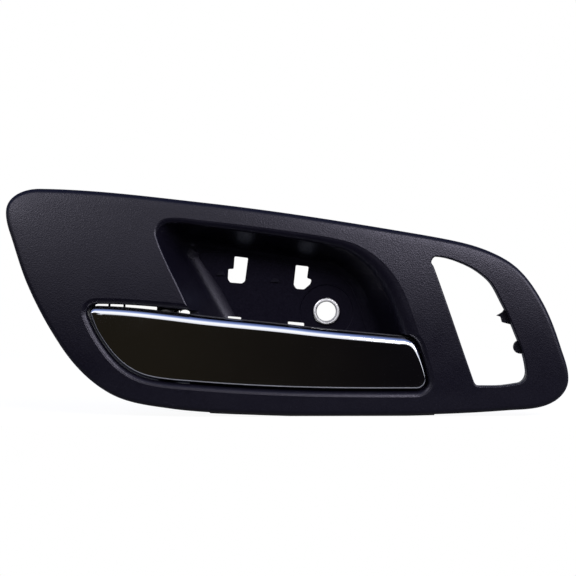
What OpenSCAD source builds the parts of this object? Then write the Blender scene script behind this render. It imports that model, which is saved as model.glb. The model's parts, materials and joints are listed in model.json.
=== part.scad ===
// Inner door handle of a car: a moulded bezel with a pull cup and a switch window,
// and a bright lever that swings on an upright pin and pulls the latch cable.
// Millimetres. X runs along the door to the switch window, Z is up, -Y faces the cabin.
// The origin is on the axis of the bolt sleeve, level with the floor of the cup.

/* [Bezel] */
// Strip between the left end of the bezel and the tip of the lever
left_band = 50.2; // [48:0.1:53]
// Strip between the top of the cup and the top of the bezel
top_band = 16.6; // [16:0.1:20]
// Strip between the lever and the lower edge of the bezel
bottom_band = 15.7; // [15:0.1:19]
// Height of the face above the floor of the cup
face_d = 38; // [36:0.5:42]
// Radius of the crown of the face along the door
crown_x_r = 1400; // [1100:50:2000]
// Radius of the crown of the face from top to bottom
crown_z_r = 380; // [320:10:500]
// Wall of the moulding
bezel_t = 2.6; // [2.2:0.1:3]
// Radius of the roll round the outer edge
edge_r = 3; // [2:0.1:4]
// Depth of the outer rim behind the face
rim_d = 12; // [10:0.5:15]

/* [Cup] */
// Length of the mouth of the cup
cup_l = 160.4; // [158:0.2:163]
// Height of the mouth of the cup
cup_h = 101.6; // [100:0.2:103]
// Distance of the bolt from the right end of the cup
bolt_inset = 60.1; // [58:0.1:62]
// Lean of the left wall of the cup
lean_left = 18.1; // [15:0.1:21]
// Lean of the top wall of the cup
lean_top = 14; // [11:0.5:17]
// Lean of the right wall of the cup
lean_right = 22.6; // [18:0.1:26]
// Lean of the bottom wall of the cup
lean_bottom = 3.2; // [2.6:0.1:5]
// Fillet between the walls and the floor of the cup
floor_r = 5.5; // [4:0.5:7]
// Depth of the seat for the bolt cover in the floor
seat_d = 0.7; // [0.4:0.1:1]

/* [Lever] */
// Length of the tail of the lever, to the left of the cup
tail_l = 36.2; // [35:0.1:39]
// Height of the lever
lever_h = 46.9; // [45:0.1:48]
// Height of the tip of the lever above the bolt
lever_top = 3.2; // [2:0.1:4.5]
// Gap between the lever and the walls of its recess
lever_gap = 1.5; // [1.2:0.1:2]
// Radius of the roll round the recess
recess_r = 4; // [3:0.1:5]
// Wall of the bright shell
shell_t = 1.6; // [1.2:0.1:2]
// Depth of the skirt round the shell
skirt_d = 7; // [5:0.5:8]
// Height of the rolled lip along the top of the lever
lip_h = 4.7; // [3:0.1:6]
// Bevel along the other edges of the lever
bevel_h = 0.8; // [0.5:0.1:1.2]
// Depth of the whole lever blade
blade_d = 10; // [9:0.5:11]
// Ribs of the core
rib_t = 1.6; // [1.2:0.1:2.2]

/* [Pivot] */
// Distance of the pin from the tip of the tail
pin_inset = 44; // [42:0.5:47]
// Depth of the pin behind the crest of the face
pin_d = 16; // [15:0.5:18]
// Radius of the pin
pin_r = 2.5; // [2:0.1:3]
// Running clearance of the bushes on the pin
run_gap = 0.05; // [0.02:0.01:0.08]
// Wall of the bushes
bush_t = 1.2; // [1:0.1:1.6]
// Thickness of the ears that hold the pin
ear_t = 4; // [3.5:0.1:4.5]
// Wall round each bore of the hinge
knuckle_t = 2.4; // [2:0.1:3]
// Wire of the return spring
wire_d = 1.4; // [1.1:0.1:1.6]
// Free turns of the return spring
spring_turns = 4; // [3:1:5]

/* [Bracket] */
// Thickness of the bracket plate
plate_t = 3; // [2.5:0.1:4]
// Height of the front of the bracket plate behind the crest of the face
plate_d = 27; // [26:0.5:29]
// Radius of the shank of the fixing screws
screw_r = 1.5; // [1.2:0.1:1.8]
// Length of the fixing screws
screw_l = 14; // [10:1:16]
// Wall of the screw bosses
boss_t = 1.9; // [1.6:0.1:2.2]

/* [Bolt] */
// Outside radius of the bolt sleeve
sleeve_r = 7.8; // [7:0.1:8.5]
// Radius of the bore of the bolt sleeve
sleeve_bore_r = 5.8; // [4:0.1:6.2]
// Length of the bolt sleeve
sleeve_l = 12; // [10:0.5:15]
// Height of the sleeve above the floor of the cup
sleeve_proud = 0.6; // [0.2:0.1:1]

/* [Switch window] */
// Length of the window
window_l = 55.6; // [52:0.2:58]
// Height of the window
window_h = 74.3; // [70:0.2:77]
// Strip between the window and the right end of the bezel
window_side = 24.8; // [23:0.1:28]
// Strip between the window and the lower edge of the bezel
window_sill = 17; // [15:0.5:19]
// Rise of the top of the bezel over the top of the window
window_head = 39.7; // [37:0.1:44]
// Overlap of the lower tip of the window and the right end of the cup
window_lap = 1.2; // [0.4:0.1:2]
// Depth of the wall round the window
window_d = 9; // [7:0.5:12]

/* [Panel clips] */
// Width of the clips that hold the bezel in the door panel
clip_w = 9; // [7:0.5:11]
// Sheet of the clips
clip_t = 0.5; // [0.4:0.1:0.7]
// Thickness of the blades that carry the clips
blade_t = 2; // [1.6:0.1:2.4]
// Height of the blades behind the rim
blade_out = 9; // [8:0.5:12]

/* [Hidden] */

// Colours
bezel_c = [0.10, 0.10, 0.13];
black_c = [0.14, 0.14, 0.15];
bright_c = [0.80, 0.81, 0.84];
steel_c = [0.62, 0.63, 0.65];
zinc_c = [0.72, 0.69, 0.55];
rubber_c = [0.07, 0.07, 0.07];
acetal_c = [0.88, 0.87, 0.82];

// Assembly clearances
seat_gap = 0.05;
free_gap = 0.3;
slip_gap = 0.2;

// Facets of round work and points between two anchors of an outline
round_fn = 48;
fine_steps = 4;
core_steps = 3;

// Crest of the face
crest_x = -25;
crest_z = -10;

// Ends of the bezel, the lever and the cup
cup_side = 4.2;
cup_foot = 2.9;
cup_x1 = bolt_inset;
cup_x0 = cup_x1 - cup_l;
lever_x1 = cup_x1 - cup_side;
lever_x0 = cup_x0 - tail_l;
lever_l = lever_x1 - lever_x0;
lever_z1 = lever_top;
lever_z0 = lever_top - lever_h;
cup_z0 = lever_z0 - cup_foot;
cup_z1 = cup_z0 + cup_h;
floor_x0 = cup_x0 + lean_left;
floor_x1 = cup_x1 - lean_right;
floor_z0 = cup_z0 + lean_bottom;
floor_z1 = cup_z1 - lean_top;
bezel_z0 = lever_z0 - bottom_band;
window_x0 = cup_x1 - window_lap;
window_z1 = bezel_z0 + window_sill + window_h;
bezel_x0 = lever_x0 - left_band;
bezel_x1 = window_x0 + window_l + window_side;
bezel_z1 = max(cup_z1 + top_band, window_z1 + window_head);
bezel_l = bezel_x1 - bezel_x0;
bezel_h = bezel_z1 - bezel_z0;

// Each anchor of an outline is its share of the length from the left, its share of the
// height from the top, and the heading of the edge there in degrees. The outlines run clockwise.
bezel_shape = [
  [0.000, 0.102, 90], [0.060, 0.000, -1], [0.358, 0.066, -6.5], [0.698, 0.189, -9.5],
  [0.804, 0.237, -12.5], [0.889, 0.317, -31], [0.953, 0.502, -61], [0.985, 0.696, -72],
  [1.000, 0.846, -92], [0.974, 0.943, -150], [0.889, 0.980, -176], [0.577, 1.000, 180],
  [0.421, 0.991, 178], [0.294, 0.969, 172], [0.188, 0.903, 151], [0.103, 0.701, 124],
  [0.041, 0.423, 114], [0.009, 0.202, 110]
];
// The fourth number opens the gap round the lever, and the fifth is the share of the lip
lever_shape = [
  [0.021, 0.000, -1, 1.0, 1.0], [0.330, 0.115, -6.5, 1.9, 1.0], [0.626, 0.241, -7, 1.9, 1.0],
  [0.923, 0.362, -5.5, 1.0, 1.0], [0.966, 0.435, -50, 1.0, 0.7], [0.984, 0.623, -73, 1.0, 0.15],
  [1.000, 0.878, -82, 1.0, 0.0], [0.973, 1.000, 180, 1.0, 0.0], [0.716, 0.994, 179, 1.0, 0.0],
  [0.330, 0.921, 175.5, 1.0, 0.0], [0.182, 0.855, 168, 1.0, 0.0], [0.090, 0.655, 137, 1.0, 0.0],
  [0.024, 0.294, 120, 1.0, 0.0], [0.001, 0.087, 112, 1.0, 0.5]
];
// The fourth number is the radius of the roll into the cup
cup_shape = [
  [0.109, 0.483, 114, 1.2], [0.003, 0.112, 108, 1.2], [0.049, 0.003, 8, 3.0],
  [0.170, 0.014, -6, 3.6], [0.526, 0.084, -8, 4.2], [0.686, 0.129, -14, 5.0],
  [0.793, 0.208, -36, 7.0], [0.875, 0.343, -56, 8.5], [0.925, 0.506, -70, 9.0],
  [0.968, 0.725, -75, 8.0], [0.999, 0.933, -80, 5.0], [0.968, 1.000, 180, 3.0],
  [0.312, 0.983, 178, 2.0], [0.223, 0.900, 114, 1.2]
];
floor_shape = [
  [0.111, 0.369, 122], [0.011, 0.138, 121], [0.041, 0.004, 10], [0.209, 0.025, -7],
  [0.556, 0.102, -10], [0.715, 0.152, -18], [0.823, 0.265, -46], [0.882, 0.405, -64],
  [0.920, 0.522, -66.5], [0.972, 0.730, -70], [0.990, 0.818, -73], [0.950, 0.998, 180],
  [0.432, 0.995, 178], [0.338, 0.911, 122]
];
window_shape = [
  [0.010, 0.038, 75], [0.066, 0.000, -3], [0.370, 0.065, -24], [0.585, 0.172, -42],
  [0.751, 0.374, -61], [0.906, 0.637, -67], [0.999, 0.883, -84], [0.916, 0.980, -172],
  [0.710, 0.999, -178], [0.508, 0.999, 180], [0.447, 0.960, 110], [0.035, 0.080, 110]
];

// Curve through two anchors
function unit(a) = [cos(a), sin(a)];
function turn(a, b) = abs((b - a + 540) % 360 - 180);
function handle(p, q, phi) = norm(q - p) * (phi < 1 ? 1 / 3 : 2 / 3 * tan(phi / 4) / sin(phi / 2));
function curve(p, t) =
  pow(1 - t, 3) * p[0] + 3 * pow(1 - t, 2) * t * p[1] + 3 * (1 - t) * t * t * p[2] + pow(t, 3) * p[3];
function tangent(p, t) =
  pow(1 - t, 2) * (p[1] - p[0]) + 2 * (1 - t) * t * (p[2] - p[1]) + t * t * (p[3] - p[2]);
function extra(s, i) = len(s) > i ? s[i] : 0;
function mix(a, b, t) = a + (b - a) * t;

// Points of an outline, each with its outward normal and its two extra values
function outline(shape, x0, z1, l, h, steps) =
  let (n = len(shape), a = [for (s = shape) [x0 + s[0] * l, z1 - s[1] * h]])
  [for (i = [0 : n - 1], j = [0 : steps - 1])
    let (
      k = (i + 1) % n,
      m = handle(a[i], a[k], turn(shape[i][2], shape[k][2])),
      p = [a[i], a[i] + m * unit(shape[i][2]), a[k] - m * unit(shape[k][2]), a[k]],
      t = j / steps,
      q = curve(p, t),
      d = tangent(p, t) / norm(tangent(p, t))
    )
    [q[0], q[1], -d[1], d[0], mix(extra(shape[i], 3), extra(shape[k], 3), t),
      mix(extra(shape[i], 4), extra(shape[k], 4), t)]];

bezel_o = outline(bezel_shape, bezel_x0, bezel_z1, bezel_l, bezel_h, fine_steps);
lever_o = outline(lever_shape, lever_x0, lever_z1, lever_l, lever_h, fine_steps);
core_o = outline(lever_shape, lever_x0, lever_z1, lever_l, lever_h, core_steps);
cup_o = outline(cup_shape, cup_x0, cup_z1, cup_l, cup_h, fine_steps);
floor_o = outline(floor_shape, floor_x0, floor_z1, floor_x1 - floor_x0, floor_z1 - floor_z0, fine_steps);
window_o = outline(window_shape, window_x0, window_z1, window_l, window_h, fine_steps);

// The crowned face, and rings of points that follow it or lie level
function face_y(x, z) =
  -face_d + pow(x - crest_x, 2) / (2 * crown_x_r) + pow(z - crest_z, 2) / (2 * crown_z_r);
function grow(o, d) = [for (p = o) [p[0] + d * p[2], p[1] + d * p[3]]];
function spread(o, k, d) = [for (p = o) [p[0] + (k * p[4] + d) * p[2], p[1] + (k * p[4] + d) * p[3]]];
function middle(q) = [for (i = [0, 1]) let (v = [for (p = q) p[i]]) (min(v) + max(v)) / 2];
function shrink(q, s) = let (c = middle(q)) [for (p = q) c + (p - c) * s];
function on_face(q, dy) = [for (p = q) [p[0], face_y(p[0], p[1]) + dy, p[1]]];
function level(q, y) = [for (p = q) [p[0], y, p[1]]];
function centre(r) = [for (i = [0 : 2]) let (v = [for (p = r) p[i]]) (min(v) + max(v)) / 2];
function half(rings) = [for (r = rings) [for (i = [0 : 2 : len(r) - 1]) r[i]]];
function bend(a, b, c, t) = pow(1 - t, 2) * a + 2 * (1 - t) * t * b + t * t * c;

// Closed skin through a row of rings, from the front to the back
module loft(rings) {
  n = len(rings[0]);
  m = len(rings);
  skin = [for (r = rings, p = r) p];
  sides = [for (j = [0 : m - 2], i = [0 : n - 1])
    let (k = (i + 1) % n, a = j * n + i, b = j * n + k)
    each [[a, a + n, b], [b, a + n, b + n]]];
  ends = [for (i = [0 : n - 1])
    let (k = (i + 1) % n)
    each [[m * n, i, k], [m * n + 1, (m - 1) * n + k, (m - 1) * n + i]]];
  polyhedron(concat(skin, [centre(rings[0]), centre(rings[m - 1])]), concat(sides, ends));
}

// Shares at which the crowned faces are ringed, and steps of the rolls
dome = [0.2, 0.5, 0.8];
roll = [0, 0.33, 0.66, 1];
roll_start = 0.4;
edge_turn = [0, 30, 60, 90];
quarter = [0 : 22.5 : 90];
// The hollows leave the face at a clear angle, and end this far in front of it
mouth_run = 12;
mouth_rise = 5.5;

// Places of the pin, of the right end of the opening behind the tail, and of the rest button
pin_x = lever_x0 + pin_inset;
tail_x1 = pin_x + 13;
bumper_x = tail_x1 + 9;

// Depths
pin_y = pin_d - face_d;
plate_y = plate_d - face_d;
pocket_y = max(crown_line(blade_d, lever_x1) + 0.16, crown_line(blade_d, bumper_x) + 1);
tail_back_y = plate_y - free_gap;
far = 60;

// Place a child that is drawn upright in Z so that it stands along Y
module along_y(x, y, z) {
  translate([x, y, z])
    rotate([-90, 0, 0])
      children();
}

// Prism with its outline in the X-Z plane, from y0 to y1
module prism(q, y0, y1) {
  translate([0, y1, 0])
    rotate([90, 0, 0])
      linear_extrude(height = y1 - y0)
        polygon(q);
}

// Bezel

module face_plate() {
  lip = grow(bezel_o, -edge_r);
  inside = grow(bezel_o, -bezel_t - edge_r / 2);
  wall = grow(bezel_o, -bezel_t);
  difference() {
    loft(concat(
      [for (s = dome) on_face(shrink(lip, s), 0)],
      [for (a = edge_turn) on_face(grow(bezel_o, -edge_r * (1 - sin(a))), edge_r * (1 - cos(a)))],
      [on_face(bezel_o, rim_d)]
    ));
    loft(half(concat(
      [for (s = [0.3, 0.7]) on_face(shrink(inside, s), bezel_t)],
      [on_face(inside, bezel_t), on_face(wall, bezel_t + edge_r / 2), on_face(wall, rim_d + 5)]
    )));
  }
}

// Corners of the cup wall at one point of its mouth: rim, turn, foot and the way down
function cup_turn(i) = let (p = cup_o[i], q = [p[0] - p[4] * p[2], p[1] - p[4] * p[3]])
  [q[0], face_y(q[0], q[1]), q[1]];
function cup_foot_point(i) = [floor_o[i][0], 0, floor_o[i][1]];
function cup_way(i) = let (v = cup_foot_point(i) - cup_turn(i)) v / norm(v);
function flat_normal(p) = [p[2], 0, p[3]];
function cup_roll(t) = [for (i = [0 : len(cup_o) - 1])
  let (
    c = cup_turn(i),
    a = [cup_o[i][0], face_y(cup_o[i][0], cup_o[i][1]), cup_o[i][1]],
    start = sqrt(roll_start / cup_o[i][4])
  )
  bend(a, c, c + cup_o[i][4] * cup_way(i), mix(start, 1, t))];
function cup_fillet(t, out) = [for (i = [0 : len(cup_o) - 1])
  let (f = cup_foot_point(i), n = flat_normal(floor_o[i]))
  bend(f - floor_r * cup_way(i), f, f - floor_r * n, t) + out * (n + [0, 1, 0])];

module cup_hollow() {
  foot = grow(floor_o, -floor_r);
  loft(concat(
    [on_face(grow(cup_o, mouth_run), -mouth_rise)],
    [for (t = roll) cup_roll(t)],
    [for (t = [0, 0.33, 0.67, 1]) cup_fillet(t, 0)],
    [level(shrink(foot, 0.2), 0)]
  ));
}

module cup_body() {
  foot = grow(floor_o, -floor_r);
  shoulder = [for (i = [0 : len(cup_o) - 1]) cup_turn(i) + bezel_t * flat_normal(cup_o[i]) + [0, 1.2, 0]];
  loft(half(concat(
    [shoulder],
    [for (t = [0, 0.5, 1]) cup_fillet(t, bezel_t)],
    [level(shrink(foot, 0.2), bezel_t)]
  )));
}

module recess_hollow() {
  mouth = spread(lever_o, lever_gap, 0);
  loft(concat(
    [on_face(spread(lever_o, lever_gap, mouth_run), -mouth_rise)],
    [for (a = edge_turn)
      if (a > 0)
        on_face(spread(lever_o, lever_gap, recess_r * (1 - sin(a))), recess_r * (1 - cos(a)))],
    [level(mouth, pocket_y)]
  ));
}

module recess_body(t, back) {
  wall = spread(lever_o, lever_gap, t);
  loft(half([on_face(wall, 1.2), level(wall, back)]));
}

module left_of(x) {
  translate([x - far * 2, -far, -far])
    cube([far * 2, far * 2, far * 2]);
}

module tail_opening() {
  intersection() {
    prism(spread(lever_o, lever_gap, 0.3), pocket_y - 2, far);
    left_of(tail_x1);
  }
}

module window_hollow() {
  loft([
    on_face(grow(window_o, mouth_run / 2), -mouth_rise),
    on_face(window_o, 1.2),
    on_face(window_o, window_d + 10)
  ]);
}

module window_body() {
  wall = grow(window_o, bezel_t * 0.8);
  loft(half([on_face(wall, 1.2), on_face(wall, window_d)]));
}

// Catch and stud on the right wall of the window, which steady the switch plate
catch_t = 3;
stud_r = 4;
module window_catch() {
  x = window_x0 + window_l;
  z = window_z1;
  shape = [
    [-5, -29], [-12.2, -30.2], [-13.4, -32], [-16.8, -33.9], [-14.3, -34.6], [-13.5, -37.8], [-5, -40]
  ];
  y = face_y(x, z - window_h / 2) + window_d - catch_t;
  prism([for (p = shape) [x + p[0], z + p[1]]], y, y + catch_t);
}

module window_stud() {
  x = window_x0 + window_l - 3;
  z = window_z1 - 52;
  y = face_y(x, z) + window_d - catch_t;
  along_y(x, y, z)
    cylinder(r = stud_r, h = catch_t, $fn = 24);
}

// Slots in the floor for the hooks of the bolt cover, placed from the bolt as the cover is.
// Each turns a little with the lever.
slot_w = 8;
slot_h = 16;
slot_foot = 3.6;
slot_foot_h = 8.6;
slot_tilt = -6.5;
slot_r = 1.6;
module hook_slot(x, z, side) {
  translate([x, 0, z])
    rotate([0, -slot_tilt, 0])
      mirror([side < 0 ? 1 : 0, 0, 0])
        prism([
          [0, 0], [slot_w, 0], [slot_w, -slot_foot_h + 1.5], [slot_w + slot_foot, -slot_foot_h + 0.6],
          [slot_w + slot_foot, -slot_h + slot_r], [slot_w + slot_foot - slot_r, -slot_h],
          [slot_r, -slot_h], [0, -slot_h + slot_r]
        ], -far / 10, far / 10);
}

module lower_slot(x, w) {
  slot_top = lever_z1 - 7 + (x - lower_slots[0]) * slot_lean;
  prism([[x, slot_top], [x + w, slot_top + w * slot_lean], [x + w, slot_top - 8], [x, slot_top - 8]], -5, 5);
}
slot_lean = -0.09;
lower_slots = [-58.4, -22.8];

// Half-round stops that steady the cover
module cover_stop(x, z) {
  difference() {
    along_y(x, -0.6, z)
      cylinder(r = 2.4, h = seat_d + 1, $fn = 20);
    translate([x - 3, -1, z - 3])
      cube([6, 1.6, 3]);
  }
}

// Screw bosses of the bracket, in the corners of the recess wall and clear of the cup
boss_spots = [
  [pin_x - 31, lever_z1 + 11.5], [pin_x - 5.5, lever_z1 + 10.5],
  [pin_x - 34, lever_z0 + 6.7], [pin_x + 13, lever_z0 - 4.8]
];
boss_r = screw_r + boss_t;

module screw_boss(p) {
  y = face_y(p[0], p[1]) + 1;
  fin = boss_r + 3.2;
  along_y(p[0], y, p[1])
    cylinder(r = boss_r, h = plate_y - y, $fn = 24);
  for (a = [0, 90])
    hull() {
      translate([p[0], y, p[1]])
        rotate([0, a, 0])
          translate([-fin, 0, -rib_t / 2])
            cube([fin * 2, 1, rib_t]);
      translate([p[0], y + 9, p[1]])
        rotate([0, a, 0])
          translate([-boss_r, 0, -rib_t / 2])
            cube([boss_r * 2, 1, rib_t]);
    }
}

module screw_pilot(p) {
  along_y(p[0], plate_y - screw_l + plate_t - 1, p[1])
    cylinder(r = screw_r + seat_gap, h = screw_l + 5, $fn = 24);
}

// Boss behind the floor that holds the bolt sleeve, and its four fins
module sleeve_boss() {
  r = sleeve_r + bezel_t;
  h = sleeve_l - sleeve_proud;
  along_y(0, 0.5, 0)
    cylinder(r = r, h = h - 0.5 - seat_gap, $fn = round_fn);
  for (a = [20, 110, 200, 290])
    rotate([0, a, 0])
      hull() {
        translate([r - 1, 1, -rib_t / 2])
          cube([9, 1, rib_t]);
        translate([r - 1, 1, -rib_t / 2])
          cube([1, h - 3, rib_t]);
      }
}

// Blades for the panel clips stand behind the face, along the rim
clip_anchors = [1.5, 3.25, 6.5, 10, 11.5, 15.5];
blade_inset = 8.5;
module at_blade(i) {
  p = bezel_o[round(clip_anchors[i] * fine_steps)];
  x = p[0] - blade_inset * p[2];
  z = p[1] - blade_inset * p[3];
  translate([x, face_y(x, z), z])
    rotate([0, 90 - atan2(p[3], p[2]), 0])
      children();
}
blade_h = rim_d + blade_out;

module blade(i) {
  at_blade(i) {
    translate([-clip_w / 2 - 1, 1, -blade_t / 2])
      cube([clip_w + 2, blade_h - 1, blade_t]);
    hull() {
      translate([-rib_t / 2, 1, -4])
        cube([rib_t, 2, 8]);
      translate([-rib_t / 2, 1, -blade_t / 2])
        cube([rib_t, rim_d - 4, blade_t]);
    }
  }
}

// Locating flange that shows a little below the lower edge
module foot_flange() {
  low = bezel_z0 - 0.7;
  x0 = cup_x0 + 32.3;
  x1 = cup_x1 + 1.9;
  intersection() {
    prism([[x0, low], [x1, low], [x1, low + 6], [x0, low + 6]], -far, far);
    loft([on_face(grow(bezel_o, 1), rim_d - 2.4), on_face(grow(bezel_o, 1), rim_d - 0.4)]);
  }
}

module bezel() {
  color(bezel_c)
    difference() {
      union() {
        difference() {
          union() {
            face_plate();
            cup_body();
            recess_body(bezel_t, pocket_y + bezel_t);
            intersection() {
              recess_body(bezel_t + 0.3, tail_back_y);
              left_of(tail_x1 + bezel_t);
            }
            window_body();
            for (p = boss_spots)
              screw_boss(p);
            for (i = [0 : len(clip_anchors) - 1])
              blade(i);
            sleeve_boss();
            difference() {
              foot_flange();
              prism(grow(bezel_o, -bezel_t / 2), -far, far);
            }
          }
          cup_hollow();
          recess_hollow();
          tail_opening();
          window_hollow();
          prism(shrink(grow(floor_o, -floor_r * 0.7), 0.96), -1, seat_d);
        }
        window_catch();
        window_stud();
        cover_stop(-62.7, 21.5);
        cover_stop(-30.5, 17.5);
      }
      hook_slot(-46.4, 31.8, -1);
      hook_slot(-18, 27.6, 1);
      lower_slot(lower_slots[0], 7.7);
      lower_slot(lower_slots[1], 9.5);
      for (p = boss_spots)
        screw_pilot(p);
      along_y(0, -1, 0)
        cylinder(r = sleeve_r + seat_gap * 2, h = sleeve_l + 2, $fn = round_fn);
      bumper_hole();
    }
}

// Bolt sleeve: a rolled steel collar that takes the clamp load of the bolt
module bolt_sleeve() {
  edge = sleeve_proud;
  color(steel_c)
    along_y(0, -sleeve_proud, 0)
      rotate_extrude($fn = round_fn)
        polygon([
          [sleeve_bore_r + edge, 0], [sleeve_r - edge, 0], [sleeve_r - edge * 0.3, edge * 0.3], [sleeve_r, edge],
          [sleeve_r, sleeve_l], [sleeve_bore_r, sleeve_l], [sleeve_bore_r, edge]
        ]);
}

// Hinge sizes along the pin
ear_top = lever_z1 - 3;
upper_z = ear_top - ear_t;
lower_z = lever_z0 + 11.2;
bush_r = pin_r + run_gap + bush_t;
knuckle_r = bush_r + knuckle_t;
flange_t = 1;
spring_h = (spring_turns + 1) * wire_d * 1.15;
spring_top = (upper_z + lower_z) / 2 + spring_h / 2;
spring_low = spring_top - spring_h;
knuckle_gap = 0.6;
upper_knuckle_z0 = spring_top + wire_d / 2 + knuckle_gap;
lower_knuckle_z1 = spring_low - wire_d / 2 - knuckle_gap;
end_gap = 0.25;
bush_head_r = bush_r + 1.2;

// Pivot bracket: a frame behind the tail, with two ears that hold the pin
module pivot_ear(z0, z1) {
  difference() {
    union() {
      translate([pin_x, pin_y, z0])
        cylinder(r = knuckle_r - 0.5, h = z1 - z0, $fn = round_fn);
      translate([pin_x - knuckle_r + 0.5, pin_y, z0])
        cube([knuckle_r * 2 - 1, plate_y - pin_y + 1, z1 - z0]);
    }
    translate([pin_x, pin_y, z0 - 1])
      cylinder(r = pin_r + 0.02, h = z1 - z0 + 2, $fn = round_fn);
  }
}

frame_w = 6;
frame_side = 4.6;
module pivot_bracket() {
  left = boss_spots[2][0] - 4;
  mouth = spread(core_o, lever_gap, 0.3);
  color(black_c)
    difference() {
      union() {
        intersection() {
          prism(spread(core_o, lever_gap, frame_w), plate_y, plate_y + plate_t);
          left_of(tail_x1 + frame_side);
        }
        for (p = boss_spots)
          along_y(p[0], plate_y, p[1])
            cylinder(r = boss_r + 1.6, h = plate_t, $fn = round_fn);
        for (i = [0, 1])
          bracket_lug(boss_spots[i], 1);
        for (i = [2, 3])
          bracket_lug(boss_spots[i], -1);
        pivot_ear(upper_z, ear_top);
        pivot_ear(lower_z - ear_t, lower_z);
        cable_rest();
      }
      difference() {
        intersection() {
          prism(mouth, plate_y - 1, plate_y + plate_t + 1);
          left_of(tail_x1);
        }
        ear_root(upper_z, ear_top);
        ear_root(lower_z - ear_t, lower_z);
        spring_bar();
      }
      for (p = boss_spots)
        along_y(p[0], plate_y - 1, p[1])
          cylinder(r = screw_r + slip_gap, h = plate_t + 2, $fn = round_fn);
      translate([pin_x, pin_y, lower_z - ear_t - 1])
        cylinder(r = pin_r + 0.02, h = ear_top - lower_z + ear_t + 2, $fn = round_fn);
      cable_slot();
    }
}

// Lug that joins a screw eye to the frame
module bracket_lug(p, up) {
  w = boss_r * 2 + 2;
  translate([p[0] - w / 2, plate_y, up > 0 ? p[1] - 8 : p[1]])
    cube([w, plate_t, 8]);
}

// Feet of the ears, which reach from the window's edge to the plate
module ear_root(z0, z1) {
  mid = (lever_z0 + lever_z1) / 2;
  low = z0 < mid;
  translate([pin_x - knuckle_r + 0.5, plate_y - 2, low ? lever_z0 - 6 : z0])
    cube([knuckle_r * 2 - 1, plate_t + 4, low ? z1 - lever_z0 + 6 : 12]);
}

// Bar across the window that takes the fixed leg of the spring
spring_r = pin_r + 1 + wire_d / 2;
module spring_bar() {
  x = pin_x - spring_r + wire_d / 2;
  translate([x, plate_y - 2, spring_low - 1.6])
    cube([far, plate_t + 4, 3.2]);
}

// Rest for the end of the cable sheath, on the left of the frame
cable_z = lower_knuckle_z1 - 2.2;
cable_y = pin_y + 19;
cable_rest_x = lever_x0 - lever_gap - frame_w + 12;
module cable_rest() {
  translate([cable_rest_x, plate_y + plate_t - 1, cable_z - 5])
    cube([5, cable_y - plate_y - plate_t + 5, 10]);
}

module cable_slot() {
  translate([cable_rest_x - 1, cable_y, cable_z])
    rotate([0, 90, 0])
      cylinder(r = 2.6, h = 7, $fn = round_fn);
  translate([cable_rest_x - 1, cable_y, cable_z - 1.4])
    cube([7, 10, 2.8]);
}

// Pan-head screw that stands along Y, with its head towards the back
module pan_screw(x, y, z, r, l, head_r, head_h) {
  translate([x, y, z])
    rotate([90, 0, 0])
      union() {
        cylinder(r = r, h = l - r, $fn = round_fn);
        translate([0, 0, l - r])
          cylinder(r1 = r, r2 = r * 0.35, h = r, $fn = round_fn);
        difference() {
          rotate_extrude($fn = round_fn)
            polygon([[0, 0], [head_r, 0], [head_r, -head_h * 0.55], [head_r * 0.7, -head_h], [0, -head_h]]);
          for (a = [0, 90])
            rotate([0, 0, a])
              translate([-head_r * 0.55, -head_r * 0.11, -head_h - 1])
                cube([head_r * 1.1, head_r * 0.22, 1 + head_h * 0.6]);
        }
      }
}

module bracket_screw(i) {
  p = boss_spots[i];
  color(zinc_c)
    pan_screw(p[0], plate_y + plate_t, p[1], screw_r, screw_l, screw_r * 2.1, 2.1);
}

// Pin with an upset head at the top and a push-on clip at its lower end
head_h = 1.4;
pin_low = lower_z - ear_t - 1.8;
module pivot_pin() {
  color(steel_c)
    translate([pin_x, pin_y, 0])
      rotate_extrude($fn = round_fn)
        polygon([
          [0, pin_low], [pin_r - 0.5, pin_low], [pin_r, pin_low + 0.5], [pin_r, ear_top],
          [pin_r + 1.3, ear_top], [pin_r + 1.3, ear_top + head_h * 0.6], [pin_r + 0.6, ear_top + head_h],
          [0, ear_top + head_h]
        ]);
}

module pin_clip() {
  clip_r = pin_r + 2.6;
  z = lower_z - ear_t;
  color(zinc_c)
    translate([pin_x, pin_y, z - 1.2])
      difference() {
        cylinder(r = clip_r, h = 1.2 - 0.02, $fn = round_fn);
        translate([0, 0, -1])
          cylinder(r = pin_r + 0.02, h = 4, $fn = round_fn);
        for (a = [0, 60, 120])
          rotate([0, 0, a])
            translate([-clip_r + 1.3, -0.3, -1])
              cube([clip_r * 2 - 2.6, 0.6, 4]);
      }
}

// Torsion spring: a fixed leg along Y, close turns round the pin, and a leg behind the tail
leg_back = plate_y - pin_y + plate_t - 0.4;
leg_tail = 15;
turn_steps = 12;
spring_sides = 6;
function spring_path() =
  let (turns = spring_turns + 0.75, n = floor(turns * turn_steps))
  concat(
    [[pin_x - spring_r, pin_y + leg_back, spring_low]],
    [for (i = [0 : n])
      let (a = 180 + 360 * turns * i / n)
      [pin_x + spring_r * cos(a), pin_y + spring_r * sin(a), mix(spring_low, spring_top, i / n)]],
    [[pin_x - leg_tail, pin_y + spring_r, spring_top]]
  );

module sweep(path, r, sides) {
  n = len(path);
  function way(i) = let (v = path[min(i + 1, n - 1)] - path[max(i - 1, 0)]) v / norm(v);
  rings = [for (i = [0 : n - 1])
    let (w = way(i), s = cross(w, [0, 0, 1]) / norm(cross(w, [0, 0, 1])), u = cross(s, w))
    [for (k = [0 : sides - 1]) path[i] + r * (cos(360 * k / sides) * s - sin(360 * k / sides) * u)]];
  loft(rings);
}

module return_spring() {
  color(steel_c)
    sweep(spring_path(), wire_d / 2, spring_sides);
}

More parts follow.
